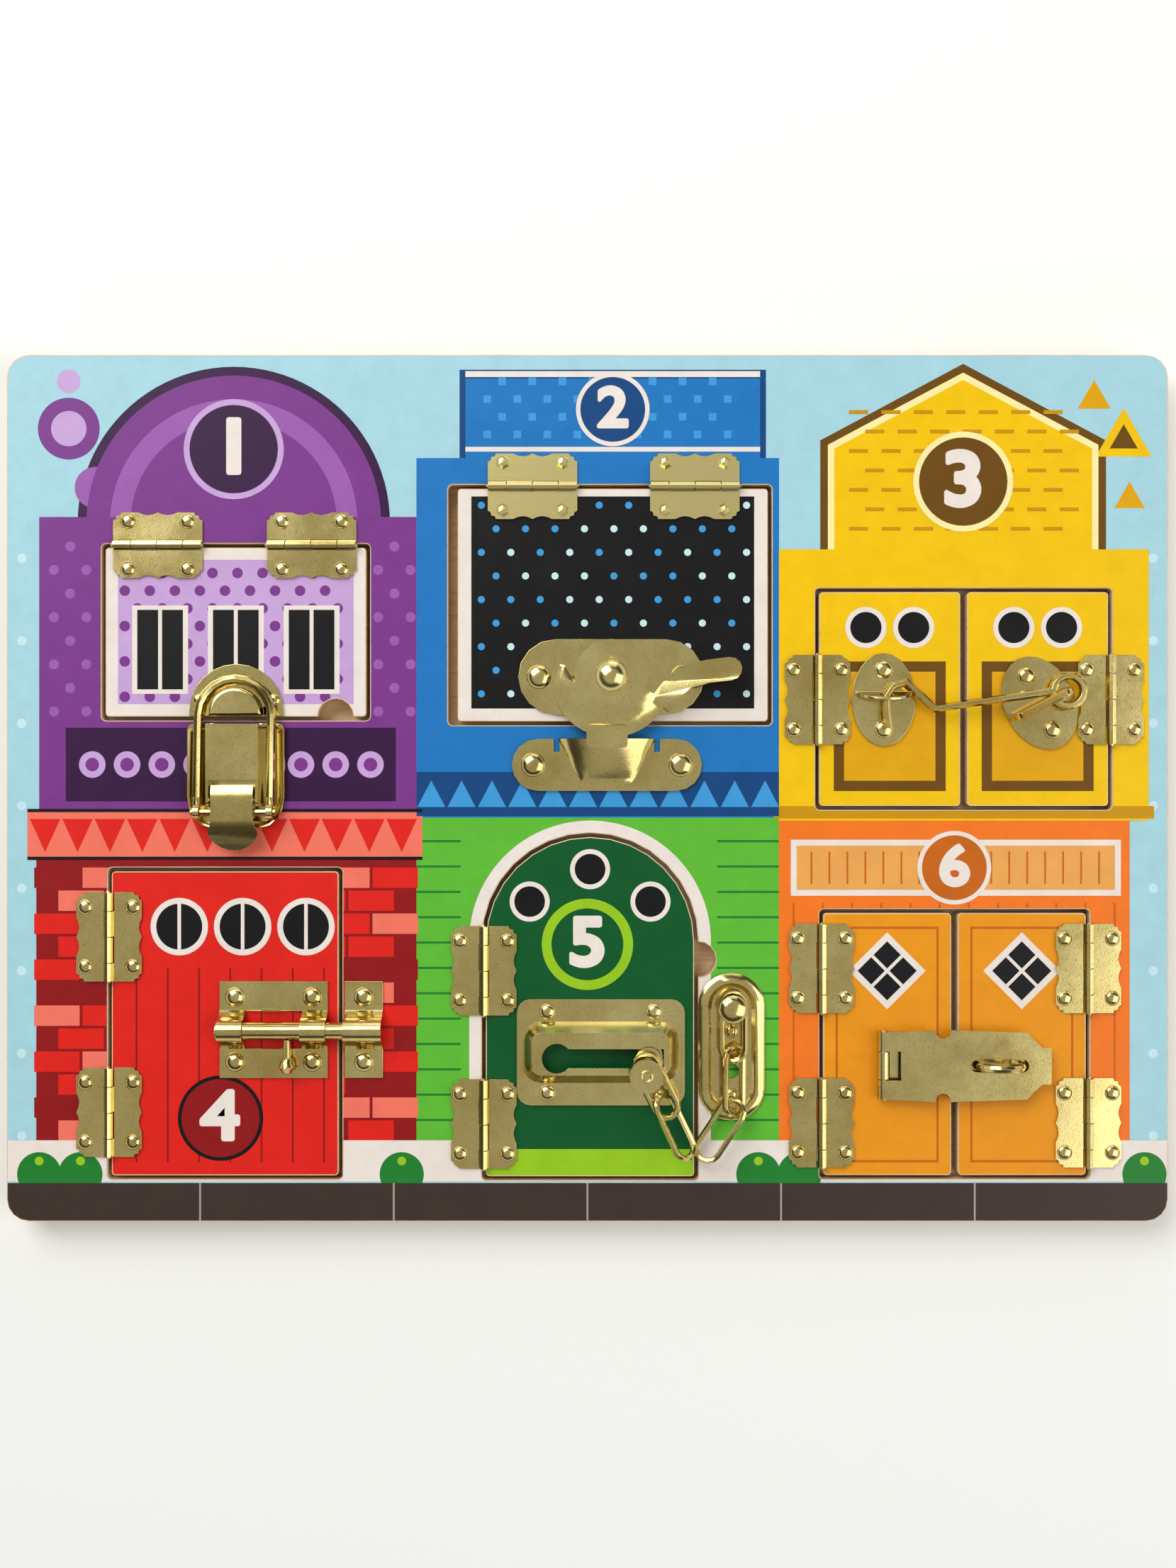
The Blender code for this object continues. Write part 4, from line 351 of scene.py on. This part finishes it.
brass = brassPlatedSteel("brass_plated_steel")
bareWood = sandedPlywood("sanded_plywood")
leafWood = sandedPlywood("sanded_plywood_with_leaves", faceHeight + woodSettings["leafFoot"])
print("materials made")


# helpers
def deselectAll():
    if bpy.context.mode != "OBJECT":
        bpy.ops.object.mode_set(mode="OBJECT")
    bpy.ops.object.select_all(action="DESELECT")


def makeActive(piece):
    deselectAll()
    piece.select_set(True)
    bpy.context.view_layer.objects.active = piece


def newPiece(name, mesh):
    piece = bpy.data.objects.new(name, mesh)
    bpy.context.scene.collection.objects.link(piece)
    makeActive(piece)
    return piece


def copyOfNode(nodeName, pieceName):
    mergeUnder = 0.002 * mm
    mesh = frame["nodes"][nodeName].data.copy()
    mesh.materials.clear()
    piece = newPiece(pieceName, mesh)
    if mesh.has_custom_normals:
        bpy.ops.mesh.customdata_custom_splitnormals_clear()
    bpy.ops.object.mode_set(mode="EDIT")
    bpy.ops.mesh.select_all(action="SELECT")
    bpy.ops.mesh.remove_doubles(threshold=mergeUnder)
    bpy.ops.object.mode_set(mode="OBJECT")
    return piece


def applyModifier(piece, kind, settings):
    modifier = piece.modifiers.new(kind.lower(), kind)
    for key, value in settings.items():
        setattr(modifier, key, value)
    bpy.ops.object.modifier_apply(modifier=modifier.name)


# wooden nodes
woodenNodes = [
    name for name in frame["nodes"]
    if name in ("back_board", "front_frame") or name.startswith("door_")
]
for name in woodenNodes:
    mesh = frame["nodes"][name].data
    mesh.materials.clear()
    mesh.materials.append(leafWood if name in ("front_frame", "door_2") else bareWood)
print("wood dressed:", len(woodenNodes))

# brass pieces
brassSettings = {
    "flatUnder": radians(0.6),
    "rounding": 0.14 * mm,
    "segments": 2,
    "smoothUnder": radians(42),
    "edgeOver": radians(40),
}
# a rivet's head in the frame: a peak, a ring at these shares of its radius and height, and its foot
rivetSettings = {
    "ringShare": 0.6,
    "dropShare": 0.18,
    "sides": 6,
    "slack": 0.06 * mm,
    "wider": 1.03,
    "taller": 1.04,
    "sunk": 0.25,
    "segments": 32,
    "rings": 20,
}


def rivetsOf(mesh):
    around = {}
    for edge in mesh.edges:
        first, second = edge.vertices
        around.setdefault(first, []).append(second)
        around.setdefault(second, []).append(first)
    corners = [corner.co.copy() for corner in mesh.vertices]
    slack = rivetSettings["slack"]
    found = []
    for peak, others in around.items():
        if len(others) < rivetSettings["sides"]:
            continue
        top = corners[peak]
        reaches = [(corners[other].xy - top.xy).length for other in others]
        drops = [top.z - corners[other].z for other in others]
        if min(drops) <= 0 or max(drops) - min(drops) > slack or max(reaches) - min(reaches) > slack:
            continue
        radius = max(reaches) / rivetSettings["ringShare"]
        height = max(drops) / rivetSettings["dropShare"]
        foot = [
            corner for corner in corners
            if abs((corner.xy - top.xy).length - radius) < slack and abs(top.z - height - corner.z) < 3 * slack
        ]
        if len(foot) >= rivetSettings["sides"]:
            found.append((top, radius, height))
    return found


def addRivetHeads(piece, heads):
    # smooth caps over the faceted heads, cut off inside the sheet
    caps = []
    for top, radius, height in heads:
        deselectAll()
        capWide, capTall = radius * rivetSettings["wider"], height * rivetSettings["taller"]
        bpy.ops.mesh.primitive_uv_sphere_add(
            segments=rivetSettings["segments"], ring_count=rivetSettings["rings"], radius=1,
            location=(top.x, top.y, top.z - height), scale=(capWide, capWide, capTall),
        )
        bpy.ops.object.transform_apply(location=True, rotation=True, scale=True)
        bpy.ops.object.mode_set(mode="EDIT")
        bpy.ops.mesh.select_all(action="SELECT")
        bpy.ops.mesh.bisect(
            plane_co=(top.x, top.y, top.z - height * (1 + rivetSettings["sunk"])), plane_no=(0, 0, 1),
            clear_inner=True, use_fill=True,
        )
        bpy.ops.object.mode_set(mode="OBJECT")
        bpy.ops.object.shade_smooth()
        bpy.context.object.data.materials.append(brass)
        caps.append(bpy.context.object)
    if caps:
        makeActive(piece)
        for cap in caps:
            cap.select_set(True)
        bpy.ops.object.join()


rivetCount = 0
for name in frame["nodes"]:
    if name in woodenNodes:
        continue
    piece = copyOfNode(name, "bright_" + name)
    bpy.ops.object.mode_set(mode="EDIT")
    bpy.ops.mesh.select_all(action="SELECT")
    bpy.ops.mesh.dissolve_limited(angle_limit=brassSettings["flatUnder"])
    bpy.ops.object.mode_set(mode="OBJECT")
    heads = rivetsOf(piece.data)
    rivetCount += len(heads)
    applyModifier(piece, "BEVEL", {
        "width": brassSettings["rounding"], "segments": brassSettings["segments"],
        "limit_method": "ANGLE", "angle_limit": brassSettings["edgeOver"], "use_clamp_overlap": True,
    })
    bpy.ops.object.shade_smooth_by_angle(angle=brassSettings["smoothUnder"])
    applyModifier(piece, "WEIGHTED_NORMAL", {"keep_sharp": True})
    piece.data.materials.append(brass)
    addRivetHeads(piece, heads)
    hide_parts(name)
    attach(piece, bodyOfNode[name])
print("brass pieces made, rivet heads:", rivetCount)

# the slug's head is closed by a small eyelet
eyeletSettings = {
    "middle": (19.7 * mm, -95.8 * mm),
    "around": 5 * mm,
    "ring": 1.75 * mm,
    "wire": 0.5 * mm,
    "taller": 1.5,
    "sink": 0.2 * mm,
}
eyeletPlace = Vector(eyeletSettings["middle"])
slugTop = max(
    corner.co.z for corner in frame["nodes"]["chain_slug"].data.vertices
    if (corner.co.xy - eyeletPlace).length < eyeletSettings["around"]
)
deselectAll()
bpy.ops.mesh.primitive_torus_add(
    location=(*eyeletPlace, slugTop - eyeletSettings["sink"]),
    major_radius=eyeletSettings["ring"], minor_radius=eyeletSettings["wire"],
    major_segments=40, minor_segments=14,
)
eyelet = bpy.context.object
eyelet.name = "slug_eyelet"
bpy.ops.object.mode_set(mode="EDIT")
bpy.ops.transform.resize(value=(1, 1, eyeletSettings["taller"]), center_override=eyelet.location)
bpy.ops.object.mode_set(mode="OBJECT")
bpy.ops.object.transform_apply(location=True, rotation=True, scale=True)
bpy.ops.object.shade_smooth()
eyelet.data.materials.append(brass)
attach(eyelet, "chain_slug")
print("eyelet set")

# printed films
filmSettings = {
    "first": 0.02 * mm,
    "step": 0.02 * mm,
    "thickness": 0.01 * mm,
    "rim": 0.3 * mm,
    "faceSlack": 0.02 * mm,
    "levelOver": 0.99,
    "stencil": 2 * mm,
}
numberSettings = {"sizeToHeight": 1.34, "swell": 0.024, "boldness": 0.035, "width": 1.12, "prints": 9}


def faceStencil(nodeName):
    # the node's printed face, drawn in from its edges and stood up as a block
    stencil = copyOfNode(nodeName, "stencil")
    bpy.ops.object.mode_set(mode="EDIT")
    bpy.ops.mesh.select_all(action="DESELECT")
    bpy.ops.mesh.select_mode(type="FACE")
    bpy.ops.object.mode_set(mode="OBJECT")
    for face in stencil.data.polygons:
        level = face.normal.z > filmSettings["levelOver"]
        face.select = not (level and abs(face.center.z - faceHeight) < filmSettings["faceSlack"])
    bpy.ops.object.mode_set(mode="EDIT")
    bpy.ops.mesh.delete(type="FACE")
    bpy.ops.mesh.select_all(action="SELECT")
    bpy.ops.mesh.dissolve_limited(angle_limit=radians(1))
    bpy.ops.mesh.inset(thickness=filmSettings["rim"], use_boundary=True)
    bpy.ops.mesh.select_all(action="INVERT")
    bpy.ops.mesh.delete(type="FACE")
    bpy.ops.mesh.select_all(action="SELECT")
    bpy.ops.mesh.extrude_region_move(TRANSFORM_OT_translate={"value": (0, 0, filmSettings["stencil"])})
    bpy.ops.mesh.select_all(action="SELECT")
    bpy.ops.transform.translate(value=(0, 0, -filmSettings["stencil"] / 2))
    bpy.ops.mesh.normals_make_consistent(inside=False)
    bpy.ops.object.mode_set(mode="OBJECT")
    return stencil


def printShapes(film, layers, used):
    # a shape is its corner count, middle, width, height and ink, and its turn if it has one
    bpy.ops.object.mode_set(mode="EDIT")
    for level, layer in enumerate(layers):
        height = faceHeight + filmSettings["first"] + filmSettings["step"] * level
        for corners, x, y, wide, tall, ink, *turn in layer:
            middle = (x * mm, y * mm, height)
            # a four-cornered sheet is turned square, so that its width and height are its sides
            square = corners == sheet
            bpy.ops.mesh.primitive_circle_add(
                vertices=corners, radius=0.5 ** 0.5 if square else 0.5, fill_type="NGON",
                location=middle, rotation=(0, 0, pi / 4 if square else 0),
            )
            bpy.ops.transform.resize(value=(wide * mm, tall * mm, 1), center_override=middle)
            if turn:
                bpy.ops.transform.rotate(value=-radians(turn[0]), orient_axis="Z", center_override=middle)
            film.active_material_index = used.index(ink)
            bpy.ops.object.material_slot_assign()
    bpy.ops.object.mode_set(mode="OBJECT")


def printNumber(film, figure, x, y, tall, ink, top):
    # a figure is printed again and again, each print a hair off the last, to make it bold
    tall *= mm
    for turn in range(numberSettings["prints"]):
        shift = numberSettings["boldness"] * tall if turn else 0
        deselectAll()
        bpy.ops.object.text_add()
        text = bpy.context.object
        text.data.body = figure
        text.data.size = tall * numberSettings["sizeToHeight"]
        text.data.offset = tall * numberSettings["swell"]
        text.data.extrude = filmSettings["thickness"] / 20
        text.data.align_x = "CENTER"
        text.data.align_y = "CENTER"
        bpy.ops.object.convert(target="MESH")
        text.scale = (numberSettings["width"], 1, 1)
        text.location = (
            x * mm + shift * cos(turn * pi / 4),
            y * mm + shift * sin(turn * pi / 4),
            top + filmSettings["thickness"] * turn / (numberSettings["prints"] - 1),
        )
        bpy.ops.object.transform_apply(location=True, rotation=True, scale=True)
        text.data.materials.clear()
        text.data.materials.append(lacqueredPrint(ink))
        film.select_set(True)
        bpy.context.view_layer.objects.active = film
        bpy.ops.object.join()


def printFilm(filmName, nodeName, layers, numbers=()):
    # a number is its figure, middle, height and ink
    shapeInks = {shape[5] for layer in layers for shape in layer}
    used = sorted(shapeInks | {number[4] for number in numbers})
    film = newPiece(filmName, bpy.data.meshes.new(filmName))
    for ink in used:
        film.data.materials.append(lacqueredPrint(ink))
    printShapes(film, layers, used)
    applyModifier(film, "SOLIDIFY", {"thickness": filmSettings["thickness"], "offset": 1})
    stencil = faceStencil(nodeName)
    makeActive(film)
    applyModifier(film, "BOOLEAN", {
        "operation": "INTERSECT", "solver": "EXACT", "use_self": True, "object": stencil,
    })
    bpy.data.objects.remove(stencil)
    top = faceHeight + filmSettings["first"] + filmSettings["step"] * len(layers)
    for number in numbers:
        printNumber(film, *number, top)
    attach(film, bodyOfNode[nodeName])
    print("film", filmName, len(film.data.polygons), "faces")


# the artwork is set in millimetres from the board's middle; these are the corner counts of its shapes
triangle, sheet, hexagon, disc, fineDisc = 3, 4, 6, 48, 96


def sheets(places, wide, tall, ink):
    return [(sheet, x, y, wide, tall, ink) for x, y in places]


def discs(places, wide, ink):
    return [(disc, x, y, wide, wide, ink) for x, y in places]


def lattice(corners, left, right, bottom, top, across, up, wide, tall, inkNames):
    # staggered rows of one small shape, inks taken in turn
    shapes = []
    row = 0
    y = bottom
    while y <= top:
        x = left + (row % 2) * across / 2
        column = 0
        while x <= right:
            ink = inkNames[(column * 3 + row * 2 + (row * column) % 3) % len(inkNames)]
            shapes.append((corners, x, y, wide, tall, ink))
            x += across
            column += 1
        y += up
        row += 1
    return shapes


# places that the board's layers share
arch = (-120, 90)
gable = (127.5, 92)
stepX = 8.6
skyDisc = (-176, 122)
skyKite = (182, 118)
rowOfDiscs = [(-168 + 11.8 * i, 8) for i in range(9)]
bushes = (-186, -172, -63, 58, 72, 189)
signPlace = (125, -27)
kerbY = -140.5
boardNumbers = {
    "1": {"place": (-120, 115), "tall": 19, "rim": 34, "ground": 30, "inks": ("lilac", "deepViolet")},
    "2": {"place": (8.6, 128.5), "tall": 14, "rim": 25, "ground": 22, "inks": ("white", "deepBlue")},
    "3": {"place": (127.5, 104), "tall": 19, "rim": 34, "ground": 30, "inks": ("cream", "ochre")},
    "6": {"place": (124.5, -27), "tall": 14, "rim": 25, "ground": 22, "inks": ("white", "burnt")},
}
badgeRims, badgeGrounds = [], []
for badge in boardNumbers.values():
    rimInk, groundInk = badge["inks"]
    badgeRims += discs([badge["place"]], badge["rim"], rimInk)
    badgeGrounds += discs([badge["place"]], badge["ground"], groundInk)
boardLayers = [
    [(sheet, 0, 0, boardWide, boardTall, "skyBlue")],
    # the round, stepped and six-sided tops of the three upper fields, small shapes of the sky
    [
        (fineDisc, *arch, 106, 106, "deepViolet"),
        (sheet, stepX, 110, 104, 64, "deepBlue"),
        (hexagon, *gable, 112, 104, "ochre"),
        (disc, *skyDisc, 21, 21, "violet"),
        (disc, -167, 102, 14, 14, "softViolet"),
        (disc, -176, 138, 8, 8, "lilac"),
        (triangle, *skyKite, 22, 22, "yellow"),
        (triangle, 172, 132, 13, 13, "honey"),
        (triangle, 184, 98, 12, 12, "honey"),
    ]
    + lattice(disc, -192, -188, -118, 88, 20, 14, 3.2, 3.2, ["paleSky"])
    + lattice(disc, 192, 194, -118, 88, 20, 14, 3.2, 3.2, ["paleSky"]),
    [
        (fineDisc, *arch, 100, 100, "violet"),
        (sheet, stepX, 110, 100, 58, "blue"),
        (hexagon, *gable, 106, 98, "cream"),
        (disc, *skyDisc, 12, 12, "lilac"),
        (triangle, *skyKite, 11, 11, "ochre"),
    ],
    [
        (fineDisc, *arch, 84, 84, "softViolet"),
        (hexagon, *gable, 101, 93, "yellow"),
        (sheet, stepX, 140.5, 100, 2, "white"),
        (sheet, stepX, 115, 100, 1.6, "white"),
    ],
    [(fineDisc, *arch, 70, 70, "violet")]
    + lattice(sheet, 92, 164, 88, 132, 11, 6.6, 6.5, 1.3, ["gold"])
    + lattice(sheet, -34, 52, 120, 138, 10.2, 6, 2.6, 2.6, ["brightBlue"]),
    # six fields
    [
        (sheet, -122, 42, 128, 100, "violet"),
        (sheet, 3.5, 51, 123, 122, "blue"),
        (sheet, 127.75, 35, 125.5, 92, "yellow"),
        (sheet, -122.5, -68, 129, 120, "deepRed"),
        (sheet, 3.5, -65, 123, 110, "green"),
        (sheet, 124.5, -70, 119, 120, "orange"),
    ],
    # their bands, the arch of door 5, dots, bricks and board seams
    [
        (sheet, -121, 8, 112, 25, "deepViolet"),
        (sheet, -123, -15.5, 134, 16, "coral"),
        (sheet, 3.5, -2, 123, 15, "deepBlue"),
        (sheet, 127.75, -8.2, 129, 4.2, "gold"),
        (sheet, *signPlace, 112, 19, "white"),
        (fineDisc, 0.9, -52, 82, 82, "white"),
        (sheet, 0.9, -86, 82, 68, "white"),
    ]
    + lattice(disc, -181, -170, 26, 88, 11, 8, 3.4, 3.4, ["softViolet"])
    + lattice(disc, -71, -60, 26, 88, 11, 8, 3.4, 3.4, ["softViolet"])
    + lattice(sheet, -180, -62, -124, -28, 16.4, 7.8, 15.4, 6.9, ["red", "red", "coral", "red", "deepRed"])
    + sheets([(-50.5, -18 - 8.6 * i) for i in range(12)], 15, 0.75, "leaf")
    + sheets([(54.5, -18 - 8.6 * i) for i in range(12)], 21, 0.75, "leaf")
    + sheets([(70 + 9.9 * i, -85) for i in range(12)], 0.7, 92, "burnt"),
    # pennants and the pavement
    [(sheet, *signPlace, 108, 15, "tan")]
    + discs(rowOfDiscs, 9, "lilac")
    + [(triangle, -184 + 11 * i, -14.2, 12, 15, "red", 180) for i in range(12)]
    + [(triangle, -53 + 10.3 * i, -3.4, 11, 12, "brightBlue", 0) for i in range(12)]
    + [(sheet, 0, -126.5, boardWide, 14, "white")],
    sheets([(-123, -7.6), (-123, -23.8)], 134, 1.1, "black")
    + discs(rowOfDiscs, 4.6, "violet")
    + sheets([(76 + 6.1 * i, signPlace[1]) for i in range(17)], 0.6, 11, "burnt")
    + discs([(x, -131) for x in bushes], 15, "leaf"),
    [(sheet, 0, kerbY, boardWide, 13, "kerb")]
    + discs([(x, -126.5) for x in bushes], 3, "lime")
    + badgeRims,
    sheets([(-131.4 + 65.7 * i, kerbY) for i in range(5)], 0.6, 13, "joint")
    + badgeGrounds,
]
printFilm(
    "print_board", "front_frame", boardLayers,
    [(figure, *badge["place"], badge["tall"], "white") for figure, badge in boardNumbers.items()],
)


def cupboardDoor(x):
    eyes = ((x - 8.1, 54.5), (x + 8.1, 54.5))
    return [
        [(sheet, x, 30, 52, 76, "yellow")],
        [(sheet, x, 21, 38, 44, "ochre")],
        [(sheet, x, 21, 31, 37, "honey")],
        discs(eyes, 14, "white"),
        discs(eyes, 10.6, "black"),
    ]


def barnDoor(x):
    # a boarded door with a small window that stands on its corner
    middleY, windowY, onCorner = -87, -62, 45
    return [
        [(sheet, x, middleY, 46, 92, "amber")],
        [(sheet, x, middleY, 35, 80, "burnt")],
        [(sheet, x, middleY, 33.4, 78.4, "amber")],
        [(sheet, x, windowY, 18.5, 18.5, "white", onCorner)],
        [(sheet, x, windowY, 14.2, 14.2, "black", onCorner)],
        [(sheet, x, windowY, 1.1, 14.2, "white", onCorner)],
        [(sheet, x, windowY, 14.2, 1.1, "white", onCorner)],
    ]


# each door's sheet: its ground, then panes and pattern from the back to the front
houseX, houseY = -119.3, 53
sashWindows = [(houseX + shift, 47) for shift in (-25.7, 0, 25.7)]
chalkboard = (8.6, 63)
redPortholes = [(x, -47) for x in (-138.5, -117, -95.5)]
greenPortholes = [(0.9, -27.5), (-19.6, -38.5), (21.4, -38.5)]
fourPlace = (-124.5, -112)
fivePlace = (0, -53)
doorSheets = {
    "door_1": [
        [(sheet, houseX, houseY, 92, 60, "white")],
        [(sheet, houseX, houseY, 80, 49, "lilac")],
        lattice(disc, -157, -82, 31, 76, 8.5, 6, 3.6, 3.6, ["violet"]),
        sheets(sashWindows, 19, 30, "white"),
        sheets(sashWindows, 15.5, 27, "black"),
        sheets(sashWindows, 1.3, 27, "white"),
    ],
    "door_2": [
        [(sheet, *chalkboard, 108, 84, "white")],
        [(sheet, *chalkboard, 96, 72, "black")],
        lattice(disc, -36, 54, 32, 96, 10, 8, 2.4, 2.4, ["brightBlue", "paleSky"]),
    ],
    "door_3_left": cupboardDoor(102.6),
    "door_3_right": cupboardDoor(152.8),
    "door_4": [
        [(sheet, -123, -80, 80, 106, "red")],
        sheets([(-153 + 10.6 * i, -94) for i in range(7)], 0.6, 66, "deepRed"),
        discs(redPortholes, 19.5, "white") + discs([fourPlace], 29, "black"),
        discs(redPortholes, 15.6, "black") + discs([fourPlace], 26.5, "deepRed"),
        sheets(redPortholes, 1.2, 15.6, "white"),
    ],
    "door_5": [
        [(sheet, 0.9, -70, 76, 130, "deepGreen")],
        [(sheet, 0.9, -127, 76, 9, "lime")]
        + discs([fivePlace], 31, "lime") + discs(greenPortholes, 13.6, "white"),
        discs([fivePlace], 24.4, "deepGreen") + discs(greenPortholes, 10.4, "black"),
    ],
    "door_6_left": barnDoor(101.7),
    "door_6_right": barnDoor(147.4),
}
doorNumbers = {
    "door_4": [("4", *fourPlace, 17, "white")],
    "door_5": [("5", *fivePlace, 17, "white")],
}
for doorName, layers in doorSheets.items():
    printFilm("print_" + doorName, doorName, layers, doorNumbers.get(doorName, ()))

# floor
floorSettings = {
    "side": 6.0,
    "cells": 12,
    "drop": 0.3 * mm,
    "colour": "#F6F6F4",
    "dullness": 0.9,
    "fibre": 1 / 300,
    "fibreDepth": 0.05 * mm,
    "fibreStrength": 0.05,
}
deselectAll()
bpy.ops.mesh.primitive_grid_add(
    x_subdivisions=floorSettings["cells"], y_subdivisions=floorSettings["cells"],
    size=floorSettings["side"], location=(0, 0, -floorSettings["drop"]),
)
floor = bpy.context.object
floor.name = "studio_floor"
bpy.ops.object.transform_apply(location=True, rotation=True, scale=True)
paper, paperTree, paperShader = newMaterial("studio_paper")
paperPlace = addNode(paperTree, "ShaderNodeTexCoord").outputs["Object"]
paperFibre = addNode(
    paperTree, "ShaderNodeTexNoise", {"Scale": 1 / floorSettings["fibre"], "Detail": 3.0}, {"Vector": paperPlace},
)
paperBump = addNode(
    paperTree, "ShaderNodeBump",
    {"Strength": floorSettings["fibreStrength"], "Distance": floorSettings["fibreDepth"]},
    {"Height": paperFibre.outputs["Fac"]},
)
paperShader.inputs["Base Color"].default_value = toLinear(floorSettings["colour"])
paperShader.inputs["Roughness"].default_value = floorSettings["dullness"]
paperTree.links.new(paperBump.outputs["Normal"], paperShader.inputs["Normal"])
floor.data.materials.append(paper)
print("floor laid")
